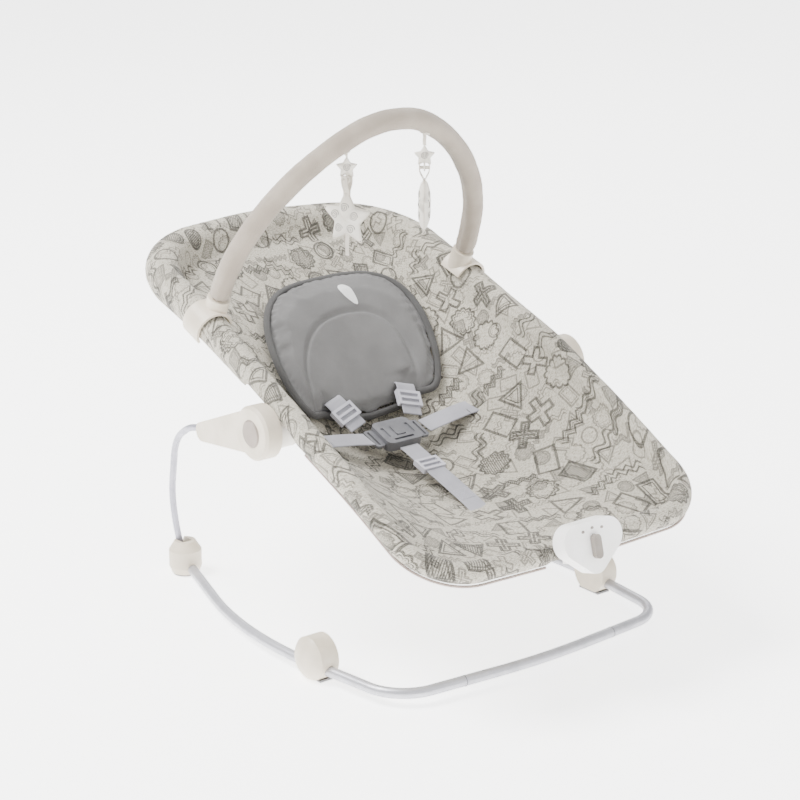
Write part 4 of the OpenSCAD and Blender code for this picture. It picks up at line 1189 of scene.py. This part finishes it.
def make_unit_marks():
    """Three small raised dots over the knob."""
    out = Vector((cos(UNIT_LEAN), 0, sin(UNIT_LEAN)))
    down = Vector((sin(UNIT_LEAN), 0, -cos(UNIT_LEAN)))
    dots = []
    for y, lift in ((-13, 0.0), (0, 2.0), (13, 0.0)):
        centre = KNOB_CENTRE + ALONG_Y * y - down * (17.5 + lift)
        verts = []
        for r, h in DOT_PROFILE:
            for k in range(DOT_SIDES):
                a = tau * k / DOT_SIDES
                verts.append(centre + ALONG_Y * r * cos(a) - down * r * sin(a) * 0.7 + out * h)
        faces = grid_faces(len(DOT_PROFILE), DOT_SIDES, wrap_cols=True)
        top, last = len(verts), len(verts) - DOT_SIDES
        verts.append(centre + out * 0.55)
        faces += [(top, last + k, last + (k + 1) % DOT_SIDES) for k in range(DOT_SIDES)]
        dots.append(mesh_piece("dot", verts, faces))
    obj = joined("unit_dots", dots)
    dress(obj, "knob_plastic")
    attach(obj, "seat")


# ---- floor tube details ----

FLOOR_TUBE_Z = 14.7
FRONT_TUBE_HALF = 105
RING_AIM = Vector((CROSS_X + 5.4, 0, FLOOR_TUBE_Z))  # the rings face away from this point


def make_joint_rings():
    """Dark gap rings where the front tube's ends meet the side tubes."""
    rings = []
    for side in (1, -1):
        end = Vector((CROSS_X - 3, FRONT_TUBE_HALF * side, FLOOR_TUBE_Z))
        axis = (end - RING_AIM).normalized()
        level = axis.cross(UP).normalized()
        rings.append(path_tube("ring", circle_points(end, level, UP, 5.95, 40), 0.4, 6, axis))
    obj = joined("tube_joint_rings", rings)
    dress(obj, "dark_gear")
    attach(obj, "base")


# ---- stage ----

FLOOR_HALF, FLOOR_STEPS, FLOOR_Z = 30.0, 24, -0.0002
FLOOR_GLOW, WORLD_LIGHT = 3.0, 1.25
WHITE = (1.0, 1.0, 1.0, 1.0)
LAMPS = {"key": ((-1.0, -1.6, 3.0), 1.5, 260.0), "fill": ((2.6, 1.6, 1.8), 2.5, 20.0),
         "back": ((-2.2, 1.8, 2.4), 2.0, 40.0)}
LAMP_AIM = Vector((0, 0, 0.25))


def make_stage():
    """A pale floor that glows a little, an even white surround and three area lamps. All in metres."""
    evenly = [mix(-FLOOR_HALF, FLOOR_HALF, k / FLOOR_STEPS) for k in range(FLOOR_STEPS + 1)]
    verts = [Vector((x, y, FLOOR_Z)) / MM for x in evenly for y in evenly]
    floor = mesh_piece("floor", verts, grid_faces(FLOOR_STEPS + 1, FLOOR_STEPS + 1))
    dress(floor, "floor")
    glow = MAT["floor"].node_tree.nodes["Principled BSDF"]
    glow.inputs["Emission Color"].default_value = WHITE
    glow.inputs["Emission Strength"].default_value = FLOOR_GLOW
    world = bpy.data.worlds.new("studio")
    bpy.context.scene.world = world
    world.use_nodes = True
    sky = world.node_tree.nodes["Background"]
    sky.inputs[0].default_value = WHITE
    sky.inputs[1].default_value = WORLD_LIGHT
    for name, (place, size, power) in LAMPS.items():
        light = bpy.data.lights.new(name, "AREA")
        light.energy = power
        light.size = size
        obj = new_object(name, light)
        obj.location = place
        obj.rotation_euler = (LAMP_AIM - Vector(place)).to_track_quat("-Z", "Y").to_euler()


CAMERA_AZIMUTH, CAMERA_ELEVATION = radians(51.98), radians(17.71)
CAMERA_PLACE = (2.00811, -1.58445, 1.0647)
LENS_MM, SENSOR_MM = 107.8, 36.0


def make_camera():
    """The photograph's view."""
    level = cos(CAMERA_ELEVATION)
    back = Vector((sin(CAMERA_AZIMUTH) * level, -cos(CAMERA_AZIMUTH) * level,
                   sin(CAMERA_ELEVATION)))
    data = bpy.data.cameras.new("camera")
    data.lens = LENS_MM
    data.sensor_width = SENSOR_MM
    data.clip_end = 50.0
    camera = new_object("camera", data)
    camera.location = CAMERA_PLACE
    camera.rotation_euler = (-back).to_track_quat("-Z", "Y").to_euler()
    bpy.context.scene.camera = camera


make_camera()
dress_hard_nodes()
make_piping(*make_cover())
make_pad()
make_harness()
make_sleeve()
for word, spec in TOYS.items():
    make_toy(word, spec)
make_unit_marks()
make_joint_rings()
make_stage()
